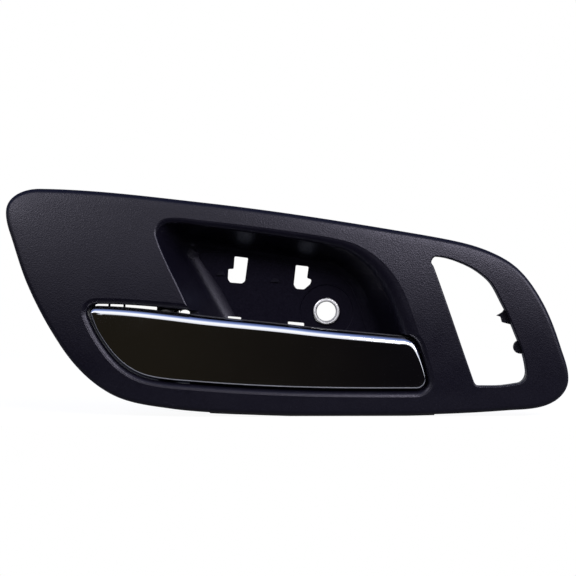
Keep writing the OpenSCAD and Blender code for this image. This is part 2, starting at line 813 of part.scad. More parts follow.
// Rubber button that the lever rests on
bumper_z = lever_z0 + 13.5;
bumper_r = 3.4;
stem_r = 1.6;
module bumper_hole() {
  along_y(bumper_x, pocket_y - 1, bumper_z)
    cylinder(r = stem_r + slip_gap, h = bezel_t + 2, $fn = 24);
}

module rest_bumper() {
  top = core_back_y + free_gap;
  barb = stem_r + 0.7;
  color(rubber_c)
    along_y(bumper_x, 0, bumper_z)
      rotate_extrude($fn = round_fn)
        polygon([
          [0, top], [bumper_r - 0.6, top], [bumper_r, top + 0.6], [bumper_r, pocket_y - 0.05], [stem_r, pocket_y - 0.05],
          [stem_r, pocket_y + bezel_t + 0.1], [barb, pocket_y + bezel_t + 0.3], [stem_r, pocket_y + bezel_t + 2.6],
          [0, pocket_y + bezel_t + 2.6]
        ]);
}

// Lever

// Height of the rolled edge at a point of the lever's outline
function lip_at(p) = mix(bevel_h, lip_h, p[5]);
function lip_ring(a, inset) = [for (p = lever_o)
  let (h = max(lip_at(p) - inset, 0.2), d = inset + h * (1 - sin(a)), x = p[0] - d * p[2], z = p[1] - d * p[3])
  [x, face_y(x, z) + inset + h * (1 - cos(a)), z]];

module lever_skin(inset, back) {
  rim = [for (p = lever_o) let (d = inset + max(lip_at(p) - inset, 0.2)) [p[0] - d * p[2], p[1] - d * p[3]]];
  edge = grow(lever_o, -inset);
  loft(concat(
    [for (s = [0.15, 0.5, 0.8]) on_face(shrink(rim, s), inset)],
    [for (a = quarter) lip_ring(a, inset)],
    [on_face(edge, back)],
    [on_face(shrink(edge, 0.4), back)]
  ));
}

// Bosses in the shell for its screws, and crush ribs that centre the core
shell_spots = [
  [lever_x0 + 0.14 * lever_l, lever_z0 + 27], [lever_x0 + 0.47 * lever_l, lever_z0 + 19],
  [lever_x0 + 0.88 * lever_l, lever_z0 + 13]
];
shell_boss_r = 2.6;
shell_boss_d = 5;
shell_screw_r = 1.1;
crush_at = [0.5, 1.5, 2.5, 6.5, 7.5, 8.5, 9.5, 11.5];

module crush_rib(p) {
  translate([p[0] - (shell_t - 0.3) * p[2], face_y(p[0], p[1]) + skirt_d - 2.2, p[1] - (shell_t - 0.3) * p[3]])
    rotate([0, 90 - atan2(p[3], p[2]), 0])
      hull() {
        translate([-0.5, 0, -0.35])
          cube([1, 1.4, 0.3]);
        translate([-0.9, -1.6, -0.1])
          cube([1.8, 3.2, 0.1]);
      }
}

module lever_shell() {
  color(bright_c)
    difference() {
      union() {
        difference() {
          lever_skin(0, skirt_d);
          lever_skin(shell_t, skirt_d + 3);
        }
        for (p = shell_spots)
          along_y(p[0], face_y(p[0], p[1]) + shell_t - 0.3, p[1])
            cylinder(r = shell_boss_r, h = shell_boss_d - shell_t + 0.3, $fn = 24);
        for (i = crush_at)
          crush_rib(lever_o[round(i * fine_steps)]);
      }
      for (p = shell_spots)
        along_y(p[0], face_y(p[0], p[1]) + shell_t + 0.4, p[1])
          cylinder(r = shell_screw_r + seat_gap, h = shell_boss_d, $fn = 24);
    }
}

// Core: a ribbed moulding behind the shell that carries the knuckles and the cable arm
core_in = shell_t + 1.9;
core_web = 2.2;
core_back_y = crown_line(blade_d, bumper_x);
core_inset = shell_t + 0.7;

// Slab between two depths behind the crown of the face, with its outline inset
arc_steps = 14;
function crown_line(d, x) = -face_d + pow(x - crest_x, 2) / (2 * crown_x_r) + d;
module crown_slab(d0, d1) {
  x0 = lever_x0 - 5;
  dx = (lever_l + 10) / arc_steps;
  translate([0, 0, -far])
    linear_extrude(height = far * 2)
      polygon(concat(
        [for (i = [0 : arc_steps]) [x0 + i * dx, crown_line(d0, x0 + i * dx)]],
        [for (i = [arc_steps : -1 : 0]) [x0 + i * dx, crown_line(d1, x0 + i * dx)]]
      ));
}

core_edge = grow(core_o, -core_inset);
bay_x0 = lever_x0 + 6;
bay_edge = [for (p = grow(core_o, -core_inset - rib_t)) if (p[0] > bay_x0 - 1) p];

bay_l = 17;
bay_count = 11;
module core_bays() {
  intersection() {
    translate([0, far, 0])
      rotate([90, 0, 0])
        linear_extrude(height = far * 2)
          difference() {
            intersection() {
              polygon(bay_edge);
              for (i = [0 : bay_count - 1])
                translate([bay_x0 + i * (bay_l + rib_t), -far])
                  square([bay_l, far * 2]);
            }
            translate([pin_x - knuckle_r - rib_t, -far])
              square([knuckle_r * 2 + rib_t * 2, far * 2]);
            for (p = shell_spots)
              translate(p)
                circle(r = shell_boss_r + rib_t + 0.8, $fn = round_fn);
            translate([bumper_x, bumper_z])
              circle(r = bumper_r + 1.3, $fn = round_fn);
            translate([lever_x0, lever_z0 + lever_h * 0.42])
              rotate(-5.5)
                square([lever_l * 1.1, rib_t]);
          }
    crown_slab(core_in + core_web, blade_d + 5);
  }
}

module knuckle(z0, z1) {
  translate([pin_x, pin_y, z0])
    cylinder(r = knuckle_r, h = z1 - z0, $fn = round_fn);
  translate([pin_x - knuckle_r, core_front_y + 2, z0])
    cube([knuckle_r * 2, pin_y - core_front_y - 2, z1 - z0]);
}
core_front_y = crown_line(core_in, pin_x);

// Arm behind the pin that takes the nipple of the latch cable
arm_l = cable_y - pin_y;
arm_t = 3.2;
eye_r = 2.1;
module cable_arm() {
  z = cable_z - arm_t / 2;
  translate([pin_x - 3.5, pin_y, z])
    cube([7, arm_l, arm_t]);
  translate([pin_x, pin_y + arm_l, z])
    cylinder(r = 4.2, h = arm_t, $fn = round_fn);
}

// Rib behind the tail that the spring bears on
module spring_rib() {
  x0 = pin_x - leg_tail + 0.5;
  y0 = core_front_y + 2;
  y1 = pin_y + spring_r - wire_d / 2 - 0.05;
  translate([x0, y0, spring_top - 1.6])
    cube([4, y1 - y0, 3.2]);
}

module lever_core() {
  color(black_c)
    difference() {
      union() {
        difference() {
          intersection() {
            prism(core_edge, -far, far);
            crown_slab(core_in, blade_d);
          }
          core_bays();
        }
        knuckle(upper_knuckle_z0, upper_z - end_gap - flange_t);
        knuckle(lower_z + end_gap + flange_t, lower_knuckle_z1);
        cable_arm();
        spring_rib();
      }
      translate([pin_x, pin_y, lower_z - 10])
        cylinder(r = bush_r + 0.02, h = far, $fn = round_fn);
      translate([pin_x, pin_y, lower_z - ear_t - 3])
        cylinder(r = knuckle_r + 0.6, h = ear_t + 3 + end_gap + flange_t, $fn = round_fn);
      translate([pin_x, pin_y, upper_z - end_gap - flange_t])
        cylinder(r = knuckle_r + 0.6, h = 20, $fn = round_fn);
      translate([pin_x, pin_y, spring_low - wire_d / 2 - knuckle_gap])
        cylinder(r = knuckle_r + 0.4, h = spring_h + wire_d + knuckle_gap * 2, $fn = round_fn);
      translate([pin_x, pin_y + arm_l, cable_z - far / 2])
        cylinder(r = eye_r, h = far, $fn = round_fn);
      for (p = shell_spots) {
        along_y(p[0], -far, p[1])
          cylinder(r = shell_boss_r + slip_gap, h = far + face_y(p[0], p[1]) + shell_boss_d + 0.05, $fn = round_fn);
        along_y(p[0], -far, p[1])
          cylinder(r = shell_screw_r + slip_gap, h = far, $fn = round_fn);
        along_y(p[0], face_y(p[0], p[1]) + shell_boss_d + 2, p[1])
          cylinder(r = shell_boss_r + 0.4, h = far, $fn = round_fn);
      }
    }
}

// Flanged bushes, the flange towards the ear
module bush(z_flange, z_end) {
  up = z_flange > z_end;
  z0 = min(z_flange, z_end);
  z1 = max(z_flange, z_end);
  color(acetal_c)
    translate([pin_x, pin_y, 0])
      rotate_extrude($fn = round_fn)
        polygon(up
          ? [[pin_r + run_gap, z0], [bush_r, z0], [bush_r, z1 - flange_t], [bush_head_r, z1 - flange_t],
             [bush_head_r, z1], [pin_r + run_gap, z1]]
          : [[pin_r + run_gap, z0], [bush_head_r, z0], [bush_head_r, z0 + flange_t], [bush_r, z0 + flange_t],
             [bush_r, z1], [pin_r + run_gap, z1]]);
}

module upper_bush() {
  bush(upper_z - end_gap, upper_knuckle_z0);
}

module lower_bush() {
  bush(lower_z + end_gap, lower_knuckle_z1);
}

module shell_screw(i) {
  p = shell_spots[i];
  color(zinc_c)
    pan_screw(p[0], face_y(p[0], p[1]) + shell_boss_d + 2, p[1], shell_screw_r, 4.8, shell_screw_r * 2, 1.5);
}

// Spring-steel clip over a blade, with two barbs that snap into the door panel
module panel_clip(i) {
  leg = blade_t / 2 + 0.05;
  tip = blade_h + 0.05;
  foot = rim_d - 3;
  barb_y = rim_d + 2.4;
  barb = 2.6;
  half = [
    [0, tip], [leg, tip], [leg, foot], [leg + 1.2, foot - 0.8], [leg + 1.2 + clip_t, foot - 0.5],
    [leg + clip_t, foot + 0.4], [leg + clip_t, barb_y - 2], [leg + barb, barb_y], [leg + clip_t + 0.2, tip + 0.2],
    [0.5, tip + 1.6], [0, tip + 1.6]
  ];
  back = [for (k = [len(half) - 1 : -1 : 0]) [-half[k][0], half[k][1]]];
  color(steel_c)
    at_blade(i)
      translate([-clip_w / 2, 0, 0])
        rotate([0, 90, 0])
          linear_extrude(height = clip_w)
            polygon(concat(half, back));
}

bezel();
bolt_sleeve();
pivot_bracket();
bracket_screw(0);  // bracket_screw_1
bracket_screw(1);  // bracket_screw_2
bracket_screw(2);  // bracket_screw_3
bracket_screw(3);  // bracket_screw_4
pivot_pin();
pin_clip();
return_spring();
rest_bumper();
lever_shell();
lever_core();
upper_bush();
lower_bush();
shell_screw(0);  // shell_screw_1
shell_screw(1);  // shell_screw_2
shell_screw(2);  // shell_screw_3
panel_clip(0);  // panel_clip_1
panel_clip(1);  // panel_clip_2
panel_clip(2);  // panel_clip_3
panel_clip(3);  // panel_clip_4
panel_clip(4);  // panel_clip_5
panel_clip(5);  // panel_clip_6
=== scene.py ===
import json
import math

import bpy
import numpy as np
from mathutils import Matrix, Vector
from mathutils.bvhtree import BVHTree


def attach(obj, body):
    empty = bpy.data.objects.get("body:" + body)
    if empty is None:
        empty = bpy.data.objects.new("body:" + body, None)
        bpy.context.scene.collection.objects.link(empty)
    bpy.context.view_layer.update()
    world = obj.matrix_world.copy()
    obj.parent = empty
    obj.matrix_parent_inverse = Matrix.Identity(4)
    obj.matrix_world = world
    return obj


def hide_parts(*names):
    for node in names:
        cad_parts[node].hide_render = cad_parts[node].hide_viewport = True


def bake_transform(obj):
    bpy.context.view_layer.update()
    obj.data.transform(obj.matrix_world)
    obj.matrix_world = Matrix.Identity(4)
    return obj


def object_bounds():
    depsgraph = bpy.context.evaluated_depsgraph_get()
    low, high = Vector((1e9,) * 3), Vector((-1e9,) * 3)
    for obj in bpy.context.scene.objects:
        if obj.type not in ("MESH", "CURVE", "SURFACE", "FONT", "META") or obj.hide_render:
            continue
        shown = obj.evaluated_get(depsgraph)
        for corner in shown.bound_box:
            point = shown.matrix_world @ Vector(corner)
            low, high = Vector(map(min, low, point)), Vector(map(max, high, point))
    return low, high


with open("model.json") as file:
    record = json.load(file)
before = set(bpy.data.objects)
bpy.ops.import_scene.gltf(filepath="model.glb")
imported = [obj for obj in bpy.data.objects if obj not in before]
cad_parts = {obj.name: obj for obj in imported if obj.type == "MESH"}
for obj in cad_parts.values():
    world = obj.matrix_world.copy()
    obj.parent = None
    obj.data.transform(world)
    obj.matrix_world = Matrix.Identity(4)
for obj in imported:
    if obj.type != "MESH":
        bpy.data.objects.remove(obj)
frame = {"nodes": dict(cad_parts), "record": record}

cad_lo, cad_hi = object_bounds()
NODES = frame["nodes"]
MM = 0.001
scene = bpy.context.scene

# Camera: level, square on to the face, a little left of the bolt sleeve. The picture is PICTURE_PX
# wide, and one of its points is PX_MM on the face.
CAM = Vector((-22.8, -988.0, 13.9)) * MM
FACE_AT, PICTURE_PX, PX_MM, SENSOR = 950.0, 576, 0.57, 36.0
cam_data = bpy.data.cameras.new("camera")
cam_data.sensor_fit = "HORIZONTAL"
cam_data.sensor_width = SENSOR
cam_data.lens = SENSOR * FACE_AT / (PICTURE_PX * PX_MM)
cam_data.clip_start = 0.01
cam_data.clip_end = 30.0
camera = bpy.data.objects.new("camera", cam_data)
camera.location = CAM
camera.rotation_euler = (math.radians(90), 0, 0)
scene.collection.objects.link(camera)
scene.camera = camera

# Driving sizes of the part in millimetres, as in its source
LEFT_BAND, TOP_BAND, BOTTOM_BAND = 50.2, 16.6, 15.7
FACE_D, CROWN_X, CROWN_Z, CREST_X, CREST_Z = 38.0, 1400.0, 380.0, -25.0, -10.0
WALL, EDGE_R, RIM_D = 2.6, 3.0, 12.0
CUP_L, CUP_H, BOLT_INSET = 160.4, 101.6, 60.1
LEAN_LEFT, LEAN_TOP, LEAN_RIGHT, LEAN_BOTTOM = 18.1, 14.0, 22.6, 3.2
FLOOR_R, SEAT_D = 5.5, 0.7
TAIL_L, LEVER_H, LEVER_TOP = 36.2, 46.9, 3.2
GAP, RECESS_R, SHELL, SKIRT, BLADE = 1.5, 4.0, 1.6, 7.0, 10.0
LIP, BEVEL = 4.7, 0.8
PIN_INSET, PIN_D, PLATE_D = 44.0, 16.0, 27.0
SLEEVE_R, BOSS_R, RIB_T = 7.8, 3.4, 1.6
WINDOW_L, WINDOW_H, WINDOW_SIDE, WINDOW_SILL, WINDOW_LAP, WINDOW_D = 55.6, 74.3, 24.8, 17.0, 1.2, 9.0
CUP_SIDE, CUP_FOOT, TAIL_REACH = 4.2, 2.9, 13.0

# Cutting tools start TOOL_Y before the face, flare outwards by FLARE there, and reach FAR
TOOL_Y, FLARE, WINDOW_FLARE, FAR = -5.5, 12, 10, 60.0

# Places that follow from them
CUP_X1, CUP_X0 = BOLT_INSET, BOLT_INSET - CUP_L
LEVER_X0, LEVER_X1 = CUP_X0 - TAIL_L, CUP_X1 - CUP_SIDE
LEVER_L = LEVER_X1 - LEVER_X0
LEVER_Z1, LEVER_Z0 = LEVER_TOP, LEVER_TOP - LEVER_H
CUP_Z0 = LEVER_Z0 - CUP_FOOT
CUP_Z1 = CUP_Z0 + CUP_H
FLOOR_X0, FLOOR_X1 = CUP_X0 + LEAN_LEFT, CUP_X1 - LEAN_RIGHT
FLOOR_Z0, FLOOR_Z1 = CUP_Z0 + LEAN_BOTTOM, CUP_Z1 - LEAN_TOP
BEZEL_Z0, BEZEL_Z1 = LEVER_Z0 - BOTTOM_BAND, CUP_Z1 + TOP_BAND
WIN_X0, WIN_Z1 = CUP_X1 - WINDOW_LAP, BEZEL_Z0 + WINDOW_SILL + WINDOW_H
BEZEL_X0, BEZEL_X1 = LEVER_X0 - LEFT_BAND, WIN_X0 + WINDOW_L + WINDOW_SIDE
PIN_X, PIN_Y = LEVER_X0 + PIN_INSET, PIN_D - FACE_D
PLATE_Y = PLATE_D - FACE_D
TAIL_X1 = PIN_X + TAIL_REACH
BUMPER_X, BUMPER_Z = TAIL_X1 + 9, LEVER_Z0 + 13.5

# Outlines, clockwise from the front. Each anchor is its share of the length from the left, its
# share of the height from the top, and the heading of the edge there in degrees. LEVER adds the
# width of the gap there in parts of GAP and the share of the full lip. CUP adds its edge radius.
BEZEL = [
    (0.000, 0.102, 90), (0.060, 0.000, -1), (0.358, 0.066, -6.5), (0.698, 0.189, -9.5),
    (0.804, 0.237, -12.5), (0.889, 0.317, -31), (0.953, 0.502, -61), (0.985, 0.696, -72),
    (1.000, 0.846, -92), (0.974, 0.943, -150), (0.889, 0.980, -176), (0.577, 1.000, 180),
    (0.421, 0.991, 178), (0.294, 0.969, 172), (0.188, 0.903, 151), (0.103, 0.701, 124),
    (0.041, 0.423, 114), (0.009, 0.202, 110)]
LEVER = [
    (0.021, 0.000, -1, 1.0, 0.85), (0.330, 0.115, -6.5, 1.9, 1.0), (0.626, 0.241, -7, 1.9, 1.0),
    (0.923, 0.362, -5.5, 1.0, 1.0), (0.966, 0.435, -50, 1.0, 0.7), (0.984, 0.623, -73, 1.0, 0.15),
    (1.000, 0.878, -82, 1.0, 0.0), (0.973, 1.000, 180, 1.0, 0.0), (0.716, 0.994, 179, 1.0, 0.0),
    (0.330, 0.921, 175.5, 1.0, 0.0), (0.182, 0.855, 168, 1.0, 0.0), (0.090, 0.655, 137, 1.0, 0.0),
    (0.024, 0.294, 120, 1.0, 0.0), (0.001, 0.087, 112, 1.0, 0.3)]
CUP = [
    (0.109, 0.483, 114, 1.2), (0.003, 0.112, 108, 1.2), (0.049, 0.003, 8, 3.0),
    (0.170, 0.014, -6, 3.6), (0.526, 0.084, -8, 4.2), (0.686, 0.129, -14, 5.0),
    (0.793, 0.208, -36, 7.0), (0.875, 0.343, -56, 8.5), (0.925, 0.506, -70, 9.0),
    (0.968, 0.725, -75, 8.0), (0.999, 0.933, -80, 5.0), (0.968, 1.000, 180, 3.0),
    (0.312, 0.983, 178, 2.0), (0.223, 0.900, 114, 1.2)]
FLOOR = [
    (0.111, 0.369, 122), (0.011, 0.138, 121), (0.041, 0.004, 10), (0.209, 0.025, -7),
    (0.556, 0.102, -10), (0.715, 0.152, -18), (0.823, 0.265, -46), (0.882, 0.405, -64),
    (0.920, 0.522, -66.5), (0.972, 0.730, -70), (0.990, 0.818, -73), (0.950, 0.998, 180),
    (0.432, 0.995, 178), (0.338, 0.911, 122)]
WINDOW = [
    (0.010, 0.038, 75), (0.066, 0.000, -3), (0.370, 0.065, -24), (0.585, 0.172, -42),
    (0.751, 0.374, -61), (0.906, 0.637, -67), (0.999, 0.883, -84), (0.916, 0.980, -172),
    (0.710, 0.999, -178), (0.508, 0.999, 180), (0.447, 0.960, 110), (0.035, 0.080, 110)]

# A stretch that turns less than this, in radians, counts as straight
NO_TURN = 0.0175


def unit(deg):
    """Direction of a heading."""
    return np.array([math.cos(math.radians(deg)), math.sin(math.radians(deg))])


def outline(shape, x0, z1, length, height, steps):
    """Points round a shape: x, z, outward normal x and z, and its two extra values."""
    out = []
    n = len(shape)
    pts = [np.array([x0 + s[0] * length, z1 - s[1] * height]) for s in shape]
    for i in range(n):
        k = (i + 1) % n
        turn = math.radians(abs((shape[k][2] - shape[i][2] + 540) % 360 - 180))
        chord = float(np.linalg.norm(pts[k] - pts[i]))
        if turn < NO_TURN:
            m = chord / 3
        else:
            m = 2 / 3 * chord * math.tan(turn / 4) / math.sin(turn / 2)
        p = [pts[i], pts[i] + m * unit(shape[i][2]), pts[k] - m * unit(shape[k][2]), pts[k]]
        for j in range(steps):
            t = j / steps
            q = (1 - t) ** 3 * p[0] + 3 * (1 - t) ** 2 * t * p[1] + 3 * (1 - t) * t * t * p[2] + t ** 3 * p[3]
            d = (1 - t) ** 2 * (p[1] - p[0]) + 2 * (1 - t) * t * (p[2] - p[1]) + t * t * (p[3] - p[2])
            d = d / np.linalg.norm(d)
            extra = []
            for e in (3, 4):
                a = shape[i][e] if len(shape[i]) > e else 0.0
                b = shape[k][e] if len(shape[k]) > e else 0.0
                extra.append(a + (b - a) * t)
            out.append((q[0], q[1], -d[1], d[0], extra[0], extra[1]))
    return np.array(out)


def face_y(x, z):
    """Depth of the crowned face."""
    return -FACE_D + (x - CREST_X) ** 2 / (2 * CROWN_X) + (z - CREST_Z) ** 2 / (2 * CROWN_Z)


def crown_line(d, x):
    """Depth d behind the face's crest line."""
    return -FACE_D + (x - CREST_X) ** 2 / (2 * CROWN_X) + d


# Bottom of the lever's recess, behind the lever and its stop
POCKET_Y = max(crown_line(BLADE, LEVER_X1) + 0.16, crown_line(BLADE, BUMPER_X) + 1)


def grow(o, d):
    """Outline o moved outwards by d."""
    return o[:, 0:2] + o[:, 2:4] * np.reshape(d, (-1, 1))


def shrink(q, s):
    """Points scaled by s about the middle of their box."""
    c = (q.max(0) + q.min(0)) / 2
    return c + (q - c) * s


def on_face(q, dy):
    """Ring dy behind the crowned face."""
    return np.stack([q[:, 0], face_y(q[:, 0], q[:, 1]) + dy, q[:, 1]], 1)


def level(q, y):
    """Ring at one depth."""
    return np.stack([q[:, 0], np.full(len(q), float(y)), q[:, 1]], 1)


def new_object(name, verts, faces):
    me = bpy.data.meshes.new(name)
    me.from_pydata((np.asarray(verts) * MM).tolist(), [], faces)
    me.update()
    ob = bpy.data.objects.new(name, me)
    scene.collection.objects.link(ob)
    return ob


def loft(name, rings):
    """Closed skin through a row of rings, from the front to the back."""
    n, m = len(rings[0]), len(rings)
    verts = np.concatenate(rings + [((rings[0].max(0) + rings[0].min(0)) / 2)[None],
                                    ((rings[-1].max(0) + rings[-1].min(0)) / 2)[None]])
    faces = []
    for j in range(m - 1):
        for i in range(n):
            k = (i + 1) % n
            faces.append((j * n + i, j * n + k, (j + 1) * n + k, (j + 1) * n + i))
    last = (m - 1) * n
    for i in range(n):
        k = (i + 1) % n
        faces.append((m * n, k, i))
        faces.append((m * n + 1, last + i, last + k))
    return new_object(name, verts, faces)


def prism(name, q, y0, y1):
    """Straight solid with its outline in the X-Z plane, clockwise from the front."""
    q = np.asarray(q, float)
    n = len(q)
    verts = np.concatenate([level(q, y0), level(q, y1)])
    faces = [(i, (i + 1) % n, n + (i + 1) % n, n + i) for i in range(n)]
    faces.append(tuple(range(n - 1, -1, -1)))
    faces.append(tuple(range(n, 2 * n)))
    return new_object(name, verts, faces)


def circle(x, z, r, n):
    """Clockwise circle of n points."""
    a = np.linspace(0, -2 * math.pi, n, endpoint=False)
    return np.stack([x + r * np.cos(a), z + r * np.sin(a)], 1)


def bend(a, b, c, t):
    """Point t of the way along a curve from a to c that heads for b."""
    return (1 - t) ** 2 * a + 2 * (1 - t) * t * b + t * t * c


def rounded(points, r):
    """Polygon with its corners rounded, clockwise as it is given."""
    pts = [np.array(p, float) for p in points]
    out = []
    for i, p in enumerate(pts):
        a = pts[i - 1] - p
        b = pts[(i + 1) % len(pts)] - p
        la, lb = np.linalg.norm(a), np.linalg.norm(b)
        d = min(r, la * 0.45, lb * 0.45)
        out += [bend(p + a / la * d, p, p + b / lb * d, t) for t in np.linspace(0, 1, 5)]
    return np.array(out)


# Each solid that goes into a join: its tree, points, triangles, their corners and their normals
SOURCES = []
# Angles in degrees, above which an edge of a solid stays sharp
SHARP, SHARP_FINE, SHARP_WIDE, CAD_SHARP = 32, 20, 40, 30


def smooth(me, sharp):
    """Smooth shading, with the edges above an angle left sharp."""
    for p in me.polygons:
        p.use_smooth = True
    me.set_sharp_from_angle(angle=math.radians(sharp))


def values(items, field, width, kind=float):
    """One field of a mesh's items, with a row for each."""
    out = np.zeros(len(items) * width, kind)
    items.foreach_get(field, out)
    return out.reshape(-1, width)


def source(ob, sharp=SHARP):
    """Remember a solid's own smooth normals before it is joined to the others."""
    me = ob.data
    smooth(me, sharp)
    me.calc_loop_triangles()
    co = values(me.vertices, "co", 3)
    cn = values(me.corner_normals, "vector", 3)
    tv = values(me.loop_triangles, "vertices", 3, int)
    tl = values(me.loop_triangles, "loops", 3, int)
    att = me.attributes.new("src", "INT", "FACE")
    att.data.foreach_set("value", np.full(len(me.polygons), len(SOURCES) + 1, np.int32))
    tree = BVHTree.FromPolygons([Vector(v) for v in co], tv.tolist())
    SOURCES.append((tree, co, tv, tl, cn))
    return ob


def take(ob):
    """Give an object its evaluated mesh, and drop its modifiers and its old mesh."""
    bpy.context.view_layer.update()
    dg = bpy.context.evaluated_depsgraph_get()
    me = bpy.data.meshes.new_from_object(ob.evaluated_get(dg))
    ob.modifiers.clear()
    old = ob.data
    ob.data = me
    bpy.data.meshes.remove(old)


def combine(ob, tool, operation):
    """Join a tool to an object, cut it away or keep what they share. The tool is gone then."""
    m = ob.modifiers.new("join", "BOOLEAN")
    m.operation = operation
    m.object = tool
    m.solver = "MANIFOLD"
    take(ob)
    me = tool.data
    bpy.data.objects.remove(tool)
    bpy.data.meshes.remove(me)
    return ob


def add(ob, tool):
    return combine(ob, source(tool), "UNION")


def cut(ob, tool, sharp=SHARP):
    return combine(ob, source(tool, sharp), "DIFFERENCE")


def keep(ob, tool):
    return combine(ob, source(tool), "INTERSECT")


# A corner's normal is looked up this share of the way to its face's middle
INWARDS = 0.02


def source_normal(point, s):
    """Smooth normal of source s near a point, or None."""
    tree, co, tv, tl, cn = SOURCES[s - 1]
    loc, _, tri, _ = tree.find_nearest(Vector(point))
    if tri is None:
        return None
    a, b, d = co[tv[tri]]
    v0, v1, v2 = b - a, d - a, np.array(loc) - a
    d00, d01, d11, d20, d21 = v0 @ v0, v0 @ v1, v1 @ v1, v2 @ v0, v2 @ v1
    den = d00 * d11 - d01 * d01
    if abs(den) < 1e-22:
        return None
    w1 = (d11 * d20 - d01 * d21) / den
    w2 = (d00 * d21 - d01 * d20) / den
    n = (1 - w1 - w2) * cn[tl[tri][0]] + w1 * cn[tl[tri][1]] + w2 * cn[tl[tri][2]]
    return n / (np.linalg.norm(n) + 1e-12)


def restore_normals(ob):
    """Each face gets the smooth normals of the solid that it came from.

    A normal that would lean more than 60 degrees from the face is left out."""
    me = ob.data
    src = values(me.attributes["src"].data, "value", 1, np.int32)[:, 0]
    co = values(me.vertices, "co", 3)
    out = np.zeros((len(me.loops), 3))
    for p in me.polygons:
        flat, middle = np.array(p.normal), np.array(p.center)
        for li in p.loop_indices:
            corner = co[me.loops[li].vertex_index]
            n = None
            if src[p.index] > 0:
                n = source_normal(corner + (middle - corner) * INWARDS, src[p.index])
            if n is not None and n @ flat < 0:
                n = -n
            out[li] = n if n is not None and n @ flat > 0.5 else flat
    for p in me.polygons:
        p.use_smooth = True
    me.attributes.remove(me.attributes["src"])
    me.normals_split_custom_set(out.tolist())
    me.update()


# Outlines with STEPS points from each anchor to the next
STEPS = 14
bezel_o = outline(BEZEL, BEZEL_X0, BEZEL_Z1, BEZEL_X1 - BEZEL_X0, BEZEL_Z1 - BEZEL_Z0, STEPS)
lever_o = outline(LEVER, LEVER_X0, LEVER_Z1, LEVER_L, LEVER_H, STEPS)
cup_o = outline(CUP, CUP_X0, CUP_Z1, CUP_L, CUP_H, STEPS)
floor_o = outline(FLOOR, FLOOR_X0, FLOOR_Z1, FLOOR_X1 - FLOOR_X0, FLOOR_Z1 - FLOOR_Z0, STEPS)
window_o = outline(WINDOW, WIN_X0, WIN_Z1, WINDOW_L, WINDOW_H, STEPS)
# Sizes of the rings that carry the crown across the face
DOME = [0.06, 0.2, 0.35, 0.5, 0.65, 0.8, 0.92]
# Bevel at the back of the rim, and how far behind the rim the hollow's tool ends
RIM_BEVEL, RIM_PAST = 0.4, 5


def arc(a):
    """Sine and cosine of an angle in degrees."""
    return math.sin(math.radians(a)), math.cos(math.radians(a))


def spread(o, k, d):
    """Outline moved outwards by k times its first extra value, and by d."""
    return o[:, 0:2] + o[:, 2:4] * (k * o[:, 4] + d)[:, None]


def plate():
    """The crowned face with its rolled edge and rim, hollow behind."""
    rim = grow(bezel_o, -EDGE_R)
    outer = [on_face(shrink(rim, s), 0) for s in DOME]
    for a in np.linspace(0, 90, 9):
        s, c = arc(a)
        outer.append(on_face(grow(bezel_o, -EDGE_R * (1 - s)), EDGE_R * (1 - c)))
    outer.append(on_face(bezel_o[:, 0:2], RIM_D - RIM_BEVEL))
    outer.append(on_face(grow(bezel_o, -RIM_BEVEL), RIM_D))
    solid = source(loft("bezel_skin", outer), SHARP_FINE)
    inside, wall = grow(bezel_o, -WALL - EDGE_R / 2), grow(bezel_o, -WALL)
    hollow = [on_face(shrink(inside, s), WALL) for s in (0.2, 0.5, 0.8)]
    hollow += [on_face(inside, WALL), on_face(wall, WALL + EDGE_R / 2), on_face(wall, RIM_D + RIM_PAST)]
    return cut(solid, loft("hollow", hollow), SHARP_WIDE)


# Edge radius of the window, and how far behind the face the bodies of cup, recess and window start
WINDOW_R, BODY_Y = 1.0, 1.2
# Walls of the cup: where each leaves its rolled edge, where it meets the floor, and its direction
turn_pt = cup_o[:, 0:2] - cup_o[:, 2:4] * cup_o[:, 4:5]
cup_start = on_face(cup_o[:, 0:2], 0)
cup_turn = on_face(turn_pt, 0)
foot_pt = level(floor_o[:, 0:2], 0)
cup_way = foot_pt - cup_turn
cup_way = cup_way / np.linalg.norm(cup_way, axis=1, keepdims=True)
flat_n = np.stack([floor_o[:, 2], np.zeros(len(floor_o)), floor_o[:, 3]], 1)
cup_n = np.stack([cup_o[:, 2], np.zeros(len(cup_o)), cup_o[:, 3]], 1)
# Radius at the foot of the walls, which grows by FOOT_MORE towards the left
FOOT_MORE = 0.9
foot_r = FLOOR_R * (1 + FOOT_MORE * np.clip(-flat_n[:, 0:1], 0, 1) ** 2)
# The cup's rolled edge starts this deep
SKIM = 0.05


def foot_bend(t):
    """Ring t of the way round the fillet at the foot."""
    return bend(foot_pt - foot_r * cup_way, foot_pt, foot_pt - foot_r * flat_n, t)


def cup_hollow():
    start = np.sqrt(SKIM / cup_o[:, 4:5])
    rings = [on_face(grow(cup_o, FLARE), TOOL_Y)]
    for k in np.linspace(0, 1, 12):
        t = start + (1 - start) * k
        rings.append(bend(cup_start, cup_turn, cup_turn + cup_o[:, 4:5] * cup_way, t))
    a, b = rings[-1], foot_pt - foot_r * cup_way
    for k in (0.33, 0.66):
        rings.append(a + (b - a) * k)
    for t in np.linspace(0, 1, 9):
        rings.append(foot_bend(t))
    foot = grow(floor_o, -FLOOR_R)
    rings += [level(shrink(foot, s), 0) for s in (0.7, 0.2)]
    return loft("cup_hollow", rings)


def cup_body():
    rings = [cup_turn + WALL * cup_n + np.array([0, BODY_Y, 0])]
    for t in np.linspace(0, 1, 5):
        rings.append(foot_bend(t) + WALL * (flat_n + np.array([0, 1, 0])))
    rings.append(level(shrink(grow(floor_o, -FLOOR_R), 0.2), WALL))
    return loft("cup_body", rings)


